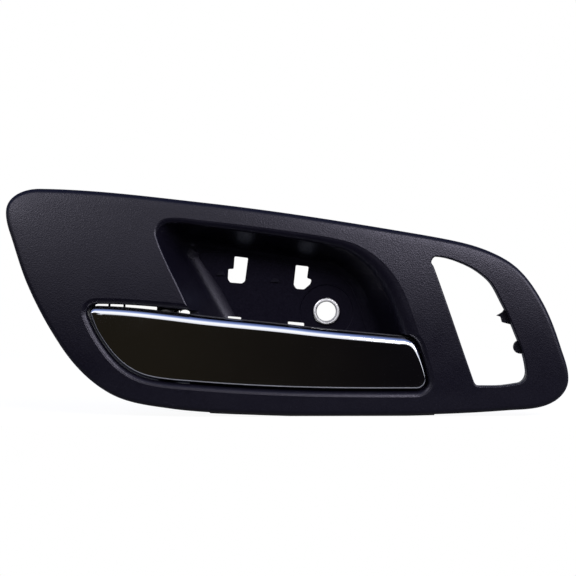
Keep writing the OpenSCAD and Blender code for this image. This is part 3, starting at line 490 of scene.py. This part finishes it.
def recess_hollow():
    mouth = spread(lever_o, GAP, 0)
    rings = [on_face(spread(lever_o, GAP, FLARE), TOOL_Y)]
    for a in np.linspace(9, 90, 11):
        s, c = arc(a)
        rings.append(on_face(spread(lever_o, GAP, RECESS_R * (1 - s)), RECESS_R * (1 - c)))
    rings += [level(mouth, POCKET_Y - 0.5), level(spread(lever_o, GAP, -0.5), POCKET_Y)]
    return loft("recess_hollow", rings)


def recess_body(t, back):
    """Block round the lever's recess with walls t thick."""
    wall = spread(lever_o, GAP, t)
    return loft("recess_body", [on_face(wall, BODY_Y), level(wall, back)])


def half_space(x):
    """All that lies left of x."""
    q = [(x - 300, 200), (x, 200), (x, -200), (x - 300, -200)]
    return prism("left", q, -200, 200)


def window_hollow():
    rings = [on_face(grow(window_o, WINDOW_FLARE), TOOL_Y)]
    for a in np.linspace(14, 90, 6):
        s, c = arc(a)
        rings.append(on_face(grow(window_o, WINDOW_R * (1 - s)), WINDOW_R * (1 - c)))
    rings.append(on_face(window_o[:, 0:2], 20))
    return loft("window_hollow", rings)


def window_body():
    wall = grow(window_o, WALL * 0.8)
    return loft("window_body", [on_face(wall, BODY_Y), on_face(wall, WINDOW_D)])


# Hooked slots for the left-out bolt cover, and the screw bosses of the bracket
SLOT_LEFT = [
    (-54.5, 32.7), (-46.5, 31.7), (-48.3, 18.0), (-50.1, 16.6), (-57.2, 17.2), (-58.5, 19.2), (-58.2, 25.2),
    (-55.1, 25.2)]
SLOT_RIGHT = [
    (-18.1, 27.5), (-10.6, 26.6), (-11.5, 19.8), (-8.9, 18.9), (-9.5, 16.3), (-13.3, 13.1), (-17.8, 13.4),
    (-19.4, 15.7)]
BOSSES = [(PIN_X - 31, LEVER_Z1 + 11.5), (PIN_X - 5.5, LEVER_Z1 + 10.5),
          (PIN_X - 34, LEVER_Z0 + 6.7), (PIN_X + 13, LEVER_Z0 - 4.8)]
BOSS_FIN, BOSS_FIN_H, PILOT_R = BOSS_R + 3.2, 10, 1.55
# Blades of the spring clips: their places in anchors of the rim (1.5 is halfway from 1 to 2), and
# their inset, half length, half thickness and reach behind the rim
BLADES = (1.5, 3.25, 6.5, 10, 11.5, 15.5)
BLADE_INSET, BLADE_HALF_L, BLADE_HALF_T, BLADE_PAST = 8.5, 5.5, 1.0, 9


def cross_fins(x, z, y, r, fin, h):
    """Two crossed fins that reach fin from the middle at depth y and taper to r at y + h."""
    out = []
    t = RIB_T / 2
    for c, s in ((1, 0), (0, 1)):
        pts = []
        for u, depth in ((fin, y), (r, y + h)):
            for p, q in ((-u, -t), (u, -t), (u, t), (-u, t)):
                pts.append((x + p * c - q * s, depth, z + p * s + q * c))
        faces = [(0, 1, 2, 3), (7, 6, 5, 4), (0, 4, 5, 1), (1, 5, 6, 2), (2, 6, 7, 3), (3, 7, 4, 0)]
        out.append(new_object("fin", np.array(pts), faces))
    return out


def sleeve_fin(a):
    """Fin behind the cup's floor, outwards from the sleeve's boss at angle a."""
    s, c = arc(a)
    r = SLEEVE_R + WALL
    pts = []
    for v in (-RIB_T / 2, RIB_T / 2):
        for u, y in ((r - 1, 1), (r + 8, 1), (r + 8, 2), (r, 9.4), (r - 1, 9.4)):
            pts.append((u * c + v * s, y, -u * s + v * c))
    faces = [(0, 1, 2, 3, 4), (9, 8, 7, 6, 5)] + [(i, i + 5, (i + 1) % 5 + 5, (i + 1) % 5) for i in range(5)]
    return new_object("fin", np.array(pts), faces)


def clip_blade(anchor):
    """Upright blade along the rim, at its place round the outline."""
    px, pz, nx, nz = bezel_o[int(round(anchor * STEPS)) % len(bezel_o)][:4]
    x, z = px - BLADE_INSET * nx, pz - BLADE_INSET * nz
    tx, tz = -nz, nx
    hu, hv = BLADE_HALF_L, BLADE_HALF_T
    q = [(x + u * tx + v * nx, z + u * tz + v * nz) for u, v in ((-hu, -hv), (-hu, hv), (hu, hv), (hu, -hv))]
    area = sum(q[i][0] * q[(i + 1) % 4][1] - q[(i + 1) % 4][0] * q[i][1] for i in range(4))
    y = face_y(x, z)
    return prism("block", q if area < 0 else q[::-1], y + 1, y + RIM_D + BLADE_PAST)


# Bodies first, then the tools that hollow them, and the small forms last
CLEAR = 0.3
bezel = plate()
add(bezel, cup_body())
add(bezel, recess_body(WALL, POCKET_Y + WALL))
tail_wall = source(recess_body(WALL + CLEAR, PLATE_Y - CLEAR))
keep(tail_wall, half_space(TAIL_X1 + WALL))
combine(bezel, tail_wall, "UNION")
add(bezel, window_body())
for bx, bz in BOSSES:
    by = face_y(bx, bz) + 1
    add(bezel, prism("boss", circle(bx, bz, BOSS_R, 32), by, PLATE_Y))
    for fin in cross_fins(bx, bz, by, BOSS_R, BOSS_FIN, BOSS_FIN_H):
        add(bezel, fin)
for anchor in BLADES:
    add(bezel, clip_blade(anchor))
add(bezel, prism("sleeve_boss", circle(0, 0, SLEEVE_R + WALL, 64), 0.5, 11.35))
for a in (20, 110, 200, 290):
    add(bezel, sleeve_fin(a))
# Foot flange along the lower edge
foot = grow(bezel_o, 1)
flange = source(loft("flange", [on_face(foot, RIM_D - 2.4), on_face(foot, RIM_D - RIM_BEVEL)]))
low = BEZEL_Z0 - 0.7
x0, x1 = CUP_X0 + 32.3, CUP_X1 + 1.9
keep(flange, prism("strip", [(x0, low + 6), (x1, low + 6), (x1, low), (x0, low)], -FAR, FAR))
cut(flange, prism("inner", grow(bezel_o, -WALL / 2), -FAR, FAR))
combine(bezel, flange, "UNION")
cut(bezel, cup_hollow(), SHARP_WIDE)
cut(bezel, recess_hollow(), SHARP_WIDE)
tail = source(prism("tail", spread(lever_o, GAP, CLEAR), POCKET_Y - 2, FAR))
keep(tail, half_space(TAIL_X1))
combine(bezel, tail, "DIFFERENCE")
cut(bezel, window_hollow(), SHARP_WIDE)
# Seat of the left-out bolt cover, a crease beside it and a round pocket round the sleeve, all cut
# from FLOOR_CUT in front of the cup's floor
FLOOR_CUT = -0.4
SEAT = [
    (-75.0, 35.8), (-54.8, 35.2), (-44.1, 31.7), (-22.8, 28.1), (-15.7, 26.3), (8.0, 21.6), (15.1, 13.9),
    (19.5, 3.0), (24.0, -12.0), (24.0, -34.0), (-36.0, -34.0), (-49.0, -12.0), (-63.0, 14.0), (-76.0, 32.0)]
CREASE = [(20.6, 11.7), (21.6, 11.3), (31.1, -12.4), (30.1, -12.0)]
POCKET = ((16.4, FLOOR_CUT), (16.0, 0.9), (15.5, 1.2))
cut(bezel, prism("seat", rounded(SEAT, 2.0), FLOOR_CUT, SEAT_D), SHARP_FINE)
cut(bezel, prism("crease", CREASE, FLOOR_CUT, 0.5), SHARP_FINE)
cut(bezel, loft("pocket", [level(circle(0, 0, r, 72), y) for r, y in POCKET]), SHARP_FINE)
# Catch and stud on the window's wall, measured from the window's top right corner
tip_x, tip_z = WIN_X0 + WINDOW_L, WIN_Z1
CATCH = [(-5, -29), (-5, -40), (-13.5, -37.8), (-14.3, -34.6), (-16.8, -33.9), (-13.4, -32), (-12.2, -30.2)]
cy = face_y(tip_x, tip_z - WINDOW_H / 2) + WINDOW_D
add(bezel, prism("catch", rounded([(tip_x + a, tip_z + b) for a, b in CATCH], 0.6), cy - 3, cy))
cy = face_y(tip_x - 3, tip_z - 52) + WINDOW_D
add(bezel, prism("stud", circle(tip_x - 3, tip_z - 52, 4.0, 40), cy - 3, cy))
# Two half-round stops of the bolt cover, the hooked slots, and two plain slots at the lever's top
STOP_R = 2.4
for x, z in ((-62.7, 21.5), (-30.5, 17.5)):
    dome = [(x + STOP_R * math.cos(t), z + STOP_R * math.sin(t)) for t in np.linspace(math.pi, 0, 16)]
    add(bezel, prism("stop", dome, -0.6, 1.1))
for shape in (SLOT_LEFT, SLOT_RIGHT):
    cut(bezel, prism("slot", rounded(shape, 0.8), -6, 6))
PLAIN_X, PLAIN_H, PLAIN_SLOPE = -58.4, 8, 0.09
for x, w in ((PLAIN_X, 7.7), (-22.8, 9.5)):
    top = LEVER_Z1 - 6 - (x - PLAIN_X) * PLAIN_SLOPE
    q = [(x, top), (x + w, top - w * PLAIN_SLOPE), (x + w, top - PLAIN_H), (x, top - PLAIN_H)]
    cut(bezel, prism("slot", rounded(q, 0.5), -5, 5))
for bx, bz in BOSSES:
    cut(bezel, prism("pilot", circle(bx, bz, PILOT_R, 24), PLATE_Y - 12, PLATE_Y + 6))
cut(bezel, prism("bore", circle(0, 0, SLEEVE_R + 0.1, 64), -1, 13))
cut(bezel, prism("bumper_hole", circle(BUMPER_X, BUMPER_Z, 1.8, 24), POCKET_Y - 1, POCKET_Y + WALL + 1))
# Ledge behind the slit over the tail, with a round notch, and x measured from the pin
ledge = [(-6.9, 6.5), (13.9, 6.5), (13.9, -0.6), (12.4, -0.6)]
ledge += [(9.5 + 2.9 * math.cos(t), -0.6 + 1.7 * math.sin(t)) for t in np.linspace(0.1, math.pi, 12)]
ledge += [(6.6, 0.7), (-6.9, 0.7)]
add(bezel, prism("ledge", [(PIN_X + a, b) for a, b in ledge], PLATE_Y - 3, PLATE_Y - CLEAR))
bezel.name = "bezel_moulding"
restore_normals(bezel)
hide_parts("bezel")
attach(bezel, "frame")

# Lever shell: one skin that goes round the rolled edge and back inside. The lip is the height of
# that edge at each point.
LIP_MIN, SKIRT_BEVEL = 0.2, 0.3
lip = np.maximum(BEVEL + (LIP - BEVEL) * lever_o[:, 5], LIP_MIN)


def lever_ring(a, inset):
    """Ring of the rolled edge at angle a, inset from the outer surface."""
    h = np.maximum(lip - inset, LIP_MIN)
    s, c = arc(a)
    q = lever_o[:, 0:2] - lever_o[:, 2:4] * (inset + h * (1 - s))[:, None]
    return np.stack([q[:, 0], face_y(q[:, 0], q[:, 1]) + inset + h * (1 - c), q[:, 1]], 1)


def lever_rim(inset):
    """Where the flat face of the lever ends."""
    return lever_o[:, 0:2] - lever_o[:, 2:4] * (inset + np.maximum(lip - inset, LIP_MIN))[:, None]


rings = [on_face(shrink(lever_rim(0), s), 0) for s in (0.05, 0.2, 0.35, 0.5, 0.65, 0.8, 0.93)]
rings += [lever_ring(a, 0) for a in np.linspace(0, 90, 15)]
rings += [on_face(lever_o[:, 0:2], SKIRT - SKIRT_BEVEL), on_face(grow(lever_o, -SKIRT_BEVEL), SKIRT)]
rings.append(on_face(grow(lever_o, -SHELL + SKIRT_BEVEL), SKIRT))
rings.append(on_face(grow(lever_o, -SHELL), SKIRT - SKIRT_BEVEL))
rings += [lever_ring(a, SHELL) for a in np.linspace(90, 0, 7)]
rings += [on_face(shrink(lever_rim(SHELL), s), SHELL) for s in (0.8, 0.5, 0.2)]
shell = loft("lever_blade", rings)
smooth(shell.data, SHARP_WIDE)
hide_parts("lever_shell")
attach(shell, "lever")

# Black edge of the lever's core behind the shell's skirt. It stands proud of the shell, more where
# the shell has its full lip.
EDGE_BEVEL, PROUD_LIP, PROUD_REST = 0.3, 0.5, 0.25
proud = PROUD_LIP * lever_o[:, 5] + PROUD_REST * (1 - lever_o[:, 5])


def edge_ring(d, depth):
    """Ring d outside the shell's outline, and depth behind its skirt."""
    q = lever_o[:, 0:2] + lever_o[:, 2:4] * np.reshape(d, (-1, 1))
    return np.stack([q[:, 0], face_y(lever_o[:, 0], lever_o[:, 1]) + SKIRT + depth, q[:, 1]], 1)


edge = source(loft("edge", [
    edge_ring(-SHELL - 1, 0.15), edge_ring(proud - EDGE_BEVEL, 0.15), edge_ring(proud, 0.45),
    edge_ring(proud, 1.1), edge_ring(proud - EDGE_BEVEL, 1.4), edge_ring(-SHELL - 1, 1.4)]))
cut(edge, prism("hole", grow(lever_o, -SHELL - 0.6), -FAR, FAR))
edge.name = "lever_edge"
restore_normals(edge)
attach(edge, "lever")

# Dark sheet behind the bracket, on three posts from the bracket, which puts painted shade in the gap round
# the tail. It follows the lever's outline between two places given in anchors.
BAFFLE_FROM, BAFFLE_TO, BAFFLE_OUT, BAFFLE_IN = 8.6, 13.6, 9.0, -5.0
BAFFLE_Y0, BAFFLE_Y1 = 0.0, 1.2
POST_Y0, POST_Y1 = PLATE_Y + 3.0, 0.6
strip = lever_o[int(BAFFLE_FROM * STEPS):int(BAFFLE_TO * STEPS)]
outer, inner = grow(strip, BAFFLE_OUT), grow(strip, BAFFLE_IN)
shade_sheet = source(prism("shade_sheet", np.concatenate([outer, inner[::-1]]), BAFFLE_Y0, BAFFLE_Y1))
for k in (3, len(strip) // 2, len(strip) - 4):
    x, z = grow(strip, 5.0)[k]
    add(shade_sheet, prism("post", circle(x, z, 1.8, 20), POST_Y0, POST_Y1))
# This dark sheet is painted shade for the gap round the tail
shade_sheet.name = "gap_shade_sheet"
restore_normals(shade_sheet)
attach(shade_sheet, "frame")

# Two thin ribs behind the slit over the tail, each on a post from the bracket's upper bar
SLIT_RIBS, RIB_HALF, RIB_Z0, RIB_Z1, RIB_POST_Z = (-128.7, -119.8), 0.6, -2.0, 11.5, 9.3
ribs = []
for number, x in enumerate(SLIT_RIBS, 1):
    x0, x1 = x - RIB_HALF, x + RIB_HALF
    box = [(x0, RIB_Z1), (x1, RIB_Z1), (x1, RIB_Z0), (x0, RIB_Z0)]
    rib = source(prism("slit_rib", box, BAFFLE_Y0, BAFFLE_Y1))
    add(rib, prism("post", circle(x, RIB_POST_Z, 1.4, 20), POST_Y0, POST_Y1))
    rib.name = "slit_rib_%d" % number
    restore_normals(rib)
    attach(rib, "frame")
    ribs.append(rib)

# Torsion spring: a leg behind the bracket's bar, close turns round the pin, a leg behind the tail
WIRE_D, SPRING_R, SPRING_TURNS = 1.4, 4.2, 4.75
SPRING_LOW, SPRING_TOP = -22.175, -14.125
LEG_BACK, LEG_TAIL, TURN_STEPS, WIRE_SIDES = 13.6, 15.0, 32, 10


def spring_path():
    n = int(SPRING_TURNS * TURN_STEPS)
    pts = [(PIN_X - SPRING_R, PIN_Y + LEG_BACK, SPRING_LOW), (PIN_X - SPRING_R, PIN_Y + 3.0, SPRING_LOW)]
    for i in range(n + 1):
        a = math.pi + 2 * math.pi * SPRING_TURNS * i / n
        z = SPRING_LOW + (SPRING_TOP - SPRING_LOW) * i / n
        pts.append((PIN_X + SPRING_R * math.cos(a), PIN_Y + SPRING_R * math.sin(a), z))
    pts.append((PIN_X - 3.0, PIN_Y + SPRING_R, SPRING_TOP))
    pts.append((PIN_X - LEG_TAIL, PIN_Y + SPRING_R, SPRING_TOP))
    return np.array(pts)


def wire(name, path, r):
    """Round wire along a path."""
    verts, faces = [], []
    up = np.array([0.0, 0.0, 1.0])
    n, sides = len(path), WIRE_SIDES
    for i in range(n):
        w = path[min(i + 1, n - 1)] - path[max(i - 1, 0)]
        side = np.cross(w, up)
        side = side / np.linalg.norm(side)
        high = np.cross(side, w)
        high = high / np.linalg.norm(high)
        for k in range(sides):
            a = 2 * math.pi * k / sides
            verts.append(path[i] + r * (math.cos(a) * side + math.sin(a) * high))
    for i in range(n - 1):
        for k in range(sides):
            m = (k + 1) % sides
            faces.append((i * sides + k, (i + 1) * sides + k, (i + 1) * sides + m, i * sides + m))
    faces.append(tuple(range(sides)))
    faces.append(tuple(range(n * sides - 1, (n - 1) * sides - 1, -1)))
    return new_object(name, verts, faces)


spring = wire("torsion_spring", spring_path(), WIRE_D / 2)
for p in spring.data.polygons:
    p.use_smooth = True
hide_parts("return_spring")
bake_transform(spring)


# Materials. These functions make and link the nodes of a tree.
def node(nt, kind, inputs=None, **settings):
    """New node with its settings and the plain values of its inputs."""
    new = nt.nodes.new(kind)
    for key, value in settings.items():
        setattr(new, key, value)
    for key, value in (inputs or {}).items():
        new.inputs[key].default_value = value
    return new


def link(nt, a, b):
    nt.links.new(a, b)


def calc(nt, operation, a, b):
    """Result of a Math node on two sockets or plain numbers."""
    new = node(nt, "ShaderNodeMath", operation=operation)
    for socket, value in zip(new.inputs, (a, b)):
        if isinstance(value, float):
            socket.default_value = value
        else:
            link(nt, value, socket)
    return new.outputs[0]


def remap(nt, value, from_min, from_max, to_min=0.0, to_max=1.0, kind="LINEAR"):
    """A value carried from one range to another, and held at the ends."""
    new = node(nt, "ShaderNodeMapRange", {
        "From Min": from_min, "From Max": from_max, "To Min": to_min, "To Max": to_max},
        interpolation_type=kind)
    link(nt, value, new.inputs["Value"])
    return new.outputs["Result"]


def ramp(nt, value, stops):
    """Colour ramp through stops of a place and a colour."""
    new = node(nt, "ShaderNodeValToRGB")
    els = new.color_ramp.elements
    els[0].position, els[1].position = stops[0][0], stops[-1][0]
    els[0].color, els[1].color = (*stops[0][1], 1), (*stops[-1][1], 1)
    for place, colour in stops[1:-1]:
        els.new(place).color = (*colour, 1)
    link(nt, value, new.inputs["Fac"])
    return new.outputs["Color"]


def noise(nt, co, scale, detail):
    new = node(nt, "ShaderNodeTexNoise", {"Scale": scale, "Detail": detail})
    link(nt, co.outputs["Object"], new.inputs["Vector"])
    return new.outputs["Fac"]


def bump(nt, height, strength, distance):
    new = node(nt, "ShaderNodeBump", {"Strength": strength, "Distance": distance * MM})
    link(nt, height, new.inputs["Height"])
    return new


def grain_bump(nt, bsdf, co, cells, depth, fine, fine_depth):
    """Moulded grain: soft cells with a finer tooth over them, in millimetres."""
    v = node(nt, "ShaderNodeTexVoronoi", {"Smoothness": 0.6}, feature="SMOOTH_F1")
    v.inputs["Scale"].default_value = 1 / MM / cells
    link(nt, co.outputs["Object"], v.inputs["Vector"])
    coarse = bump(nt, v.outputs["Distance"], 1.0, depth)
    tooth = bump(nt, noise(nt, co, 1 / MM / fine, 3.0), 1.0, fine_depth)
    link(nt, coarse.outputs["Normal"], tooth.inputs["Normal"])
    link(nt, tooth.outputs["Normal"], bsdf.inputs["Normal"])


def uneven(nt, co, scale, low, high):
    """Soft patches between two values."""
    return remap(nt, noise(nt, co, scale, 4.0), 0.3, 0.7, low, high)


def tint(nt, bsdf, co, scale, dark, light):
    """Soft patches between two colours."""
    colour = ramp(nt, noise(nt, co, scale, 5.0), [(0.3, dark), (0.7, light)])
    link(nt, colour, bsdf.inputs["Base Color"])


FINISH = {}


def material(name, metallic):
    """New finish: its tree, its shader and its coordinates."""
    m = bpy.data.materials.new(name)
    m.use_nodes = True
    FINISH[name] = m
    nt = m.node_tree
    bsdf = nt.nodes["Principled BSDF"]
    bsdf.inputs["Metallic"].default_value = metallic
    return nt, bsdf, node(nt, "ShaderNodeTexCoord")


def coat(ob, name):
    ob.data.materials.clear()
    ob.data.materials.append(FINISH[name])


nt, bsdf, co = material("bezel_plastic", 0.0)
bsdf.inputs["Specular IOR Level"].default_value = 0.27
grain_bump(nt, bsdf, co, 0.75, 0.06, 0.3, 0.015)
tint(nt, bsdf, co, 900.0, (0.0020, 0.0016, 0.0045), (0.0042, 0.0038, 0.0078))
# The floor of the cup has a rougher grain than the face, and a darker specular tint there is painted shade in
# the deep cup. The change is between two depths.
FACE_ROUGH, CUP_ROUGH, CUP_FROM, CUP_TO = 0.31, 0.42, -2.8, 0.5
where = node(nt, "ShaderNodeSeparateXYZ")
link(nt, co.outputs["Object"], where.inputs[0])
deep = remap(nt, where.outputs["Y"], CUP_FROM * MM, CUP_TO * MM, FACE_ROUGH, CUP_ROUGH, "SMOOTHSTEP")
link(nt, calc(nt, "ADD", deep, uneven(nt, co, 60.0, 0.0, 0.06)), bsdf.inputs["Roughness"])
# Specular tint that darkens with depth: painted shade in the cup
cup_painted_shade = ramp(nt, deep, [(FACE_ROUGH, (0.90, 0.88, 1.0)), (CUP_ROUGH, (0.16, 0.15, 0.20))])
link(nt, cup_painted_shade, bsdf.inputs["Specular Tint"])

nt, bsdf, co = material("bright_plate", 1.0)
link(nt, uneven(nt, co, 45.0, 0.035, 0.07), bsdf.inputs["Roughness"])
tint(nt, bsdf, co, 30.0, (0.78, 0.79, 0.81), (0.84, 0.85, 0.87))
link(nt, bump(nt, noise(nt, co, 25.0, 1.0), 0.25, 0.05).outputs["Normal"], bsdf.inputs["Normal"])

# Each plain finish: metallic, grain as cell, depth, fine cell and fine depth in millimetres,
# roughness as scale, low and high, and colour as scale, dark and light
RECIPES = {
    "carrier_plastic": (0.0, (1.6, 0.02, 0.3, 0.01), (80.0, 0.48, 0.62),
                        (300.0, (0.012, 0.012, 0.013), (0.022, 0.022, 0.023))),
    "plated_steel": (1.0, (2.4, 0.01, 0.25, 0.006), (140.0, 0.42, 0.52),
                     (120.0, (0.70, 0.70, 0.70), (0.80, 0.80, 0.79))),
    "spring_steel": (1.0, (1.2, 0.008, 0.2, 0.005), (200.0, 0.3, 0.45),
                     (90.0, (0.30, 0.30, 0.31), (0.44, 0.44, 0.44))),
    "screw_zinc": (1.0, (0.9, 0.01, 0.15, 0.006), (220.0, 0.25, 0.42),
                   (150.0, (0.55, 0.50, 0.36), (0.66, 0.62, 0.52))),
    "bumper_rubber": (0.0, (0.8, 0.02, 0.2, 0.012), (150.0, 0.7, 0.85),
                      (200.0, (0.010, 0.010, 0.010), (0.020, 0.020, 0.020))),
    "bush_plastic": (0.0, (1.5, 0.01, 0.3, 0.004), (90.0, 0.25, 0.38),
                     (60.0, (0.78, 0.76, 0.68), (0.84, 0.83, 0.76)))}
for name, (metallic, grain, roughness, colours) in RECIPES.items():
    nt, bsdf, co = material(name, metallic)
    grain_bump(nt, bsdf, co, *grain)
    link(nt, uneven(nt, co, *roughness), bsdf.inputs["Roughness"])
    tint(nt, bsdf, co, *colours)

coat(bezel, "bezel_plastic")
coat(shell, "bright_plate")
coat(spring, "spring_steel")
for ob in [edge, shade_sheet] + ribs:
    coat(ob, "carrier_plastic")
for part in frame["record"]["subparts"]:
    ob = NODES[part["node"]]
    coat(ob, part["material_slot"])
    smooth(ob.data, CAD_SHARP)

# Floor, white to the camera with the object's shadow on it, and dim to reflections
STAGE_BELOW, STAGE_FRONT, STAGE_FAR = 0.0002, -0.09, 0.9
floor_z = cad_lo.z - STAGE_BELOW
corners = [(-STAGE_FAR, STAGE_FRONT), (STAGE_FAR, STAGE_FRONT), (STAGE_FAR, STAGE_FAR),
           (-STAGE_FAR, STAGE_FAR)]
floor_me = bpy.data.meshes.new("floor")
floor_me.from_pydata([(x, y, floor_z) for x, y in corners], [], [(0, 1, 2, 3)])
floor = bpy.data.objects.new("floor", floor_me)
scene.collection.objects.link(floor)


def seen(nt, share):
    """1 for camera rays, and share for glossy and transmission rays."""
    path = node(nt, "ShaderNodeLightPath")
    mirrored = calc(nt, "MAXIMUM", path.outputs["Is Glossy Ray"], path.outputs["Is Transmission Ray"])
    return calc(nt, "MAXIMUM", path.outputs["Is Camera Ray"], calc(nt, "MULTIPLY", mirrored, share))


def mix(nt, share, a, b, out):
    new = node(nt, "ShaderNodeMixShader")
    for socket, value in zip(new.inputs, (share, a, b)):
        link(nt, value, socket)
    link(nt, new.outputs[0], out.inputs["Surface"])


floor_m = bpy.data.materials.new("floor")
floor_m.use_nodes = True
nt = floor_m.node_tree
nt.nodes.clear()
out = node(nt, "ShaderNodeOutputMaterial")
dim = node(nt, "ShaderNodeBsdfDiffuse", {"Color": (0.22, 0.22, 0.22, 1)})
shaded = node(nt, "ShaderNodeBsdfDiffuse", {"Color": (0.12, 0.12, 0.12, 1)})
glow = node(nt, "ShaderNodeEmission", {"Strength": 0.94})
pale = node(nt, "ShaderNodeAddShader")
link(nt, shaded.outputs[0], pale.inputs[0])
link(nt, glow.outputs[0], pale.inputs[1])
mix(nt, seen(nt, 0.04), dim.outputs[0], pale.outputs[0], out)
floor_me.materials.append(floor_m)

# Studio: white to the camera, dark low in front, bright above that and dim behind. Each stop is
# an angle over the front horizon in degrees, and the colour of the studio there.
SKY = [
    (-180, (0.34, 0.35, 0.38)), (-150, (0.08, 0.08, 0.08)), (-90, (0.02, 0.02, 0.018)),
    (-12, (0.004, 0.0035, 0.0045)), (4, (0.004, 0.0035, 0.0045)), (7.5, (0.92, 0.93, 1.0)),
    (36, (1.25, 1.25, 1.25)), (48, (1.0, 1.03, 1.2)), (58, (0.30, 0.40, 0.74)),
    (84, (0.10, 0.14, 0.34)), (150, (0.10, 0.12, 0.20)), (180, (0.34, 0.35, 0.38))]
world = bpy.data.worlds.new("studio")
scene.world = world
world.use_nodes = True
nt = world.node_tree
nt.nodes.clear()
out = node(nt, "ShaderNodeOutputWorld")
way = node(nt, "ShaderNodeSeparateXYZ")
link(nt, node(nt, "ShaderNodeTexCoord").outputs["Generated"], way.inputs[0])
climb = calc(nt, "ARCTAN2", way.outputs["Z"], calc(nt, "MULTIPLY", way.outputs["Y"], -1.0))
turn = remap(nt, climb, -math.pi, math.pi)
sky = ramp(nt, turn, [((deg + 180) / 360, colour) for deg, colour in SKY])
# A warm dark wall low in front, towards the left
low = remap(nt, turn, 0.5 + 7.0 / 360, 0.5 + 3.0 / 360, kind="SMOOTHSTEP")
left = remap(nt, way.outputs["X"], 0.16, -0.18)
warm = node(nt, "ShaderNodeMix", data_type="RGBA", blend_type="ADD")
warm.inputs["B"].default_value = (0.0085, 0.0068, 0.0025, 1)
link(nt, calc(nt, "MULTIPLY", low, left), warm.inputs["Factor"])
link(nt, sky, warm.inputs["A"])
studio = node(nt, "ShaderNodeBackground", {"Strength": 1.0})
link(nt, warm.outputs["Result"], studio.inputs["Color"])
white = node(nt, "ShaderNodeBackground", {"Color": (1, 1, 1, 1), "Strength": 1.0})
# Reflections see the white only straight behind the part
behind = remap(nt, way.outputs["Y"], 0.95, 0.99, kind="SMOOTHSTEP")
mix(nt, seen(nt, behind), studio.outputs[0], white.outputs[0], out)


def softbox(name, place, aim, size, watts, colour):
    data = bpy.data.lights.new(name, "AREA")
    data.shape = "RECTANGLE"
    data.size, data.size_y = size
    data.energy = watts
    data.color = colour
    ob = bpy.data.objects.new(name, data)
    ob.location = place
    ob.rotation_euler = (Vector(aim) - Vector(place)).to_track_quat("-Z", "Y").to_euler()
    scene.collection.objects.link(ob)


softbox("key", (0.43, -1.14, 0.62), (0.06, 0.0, 0.02), (0.45, 0.35), 9, (0.93, 0.90, 1.0))
softbox("side", (0.96, -0.67, 0.55), (0.0, 0.0, 0.0), (0.5, 0.5), 8, (0.93, 0.92, 1.0))
softbox("fill", (-0.80, -0.95, 0.72), (-0.1, 0.0, 0.0), (0.45, 0.35), 5, (0.95, 0.93, 1.0))

scene.view_settings.view_transform = "Standard"
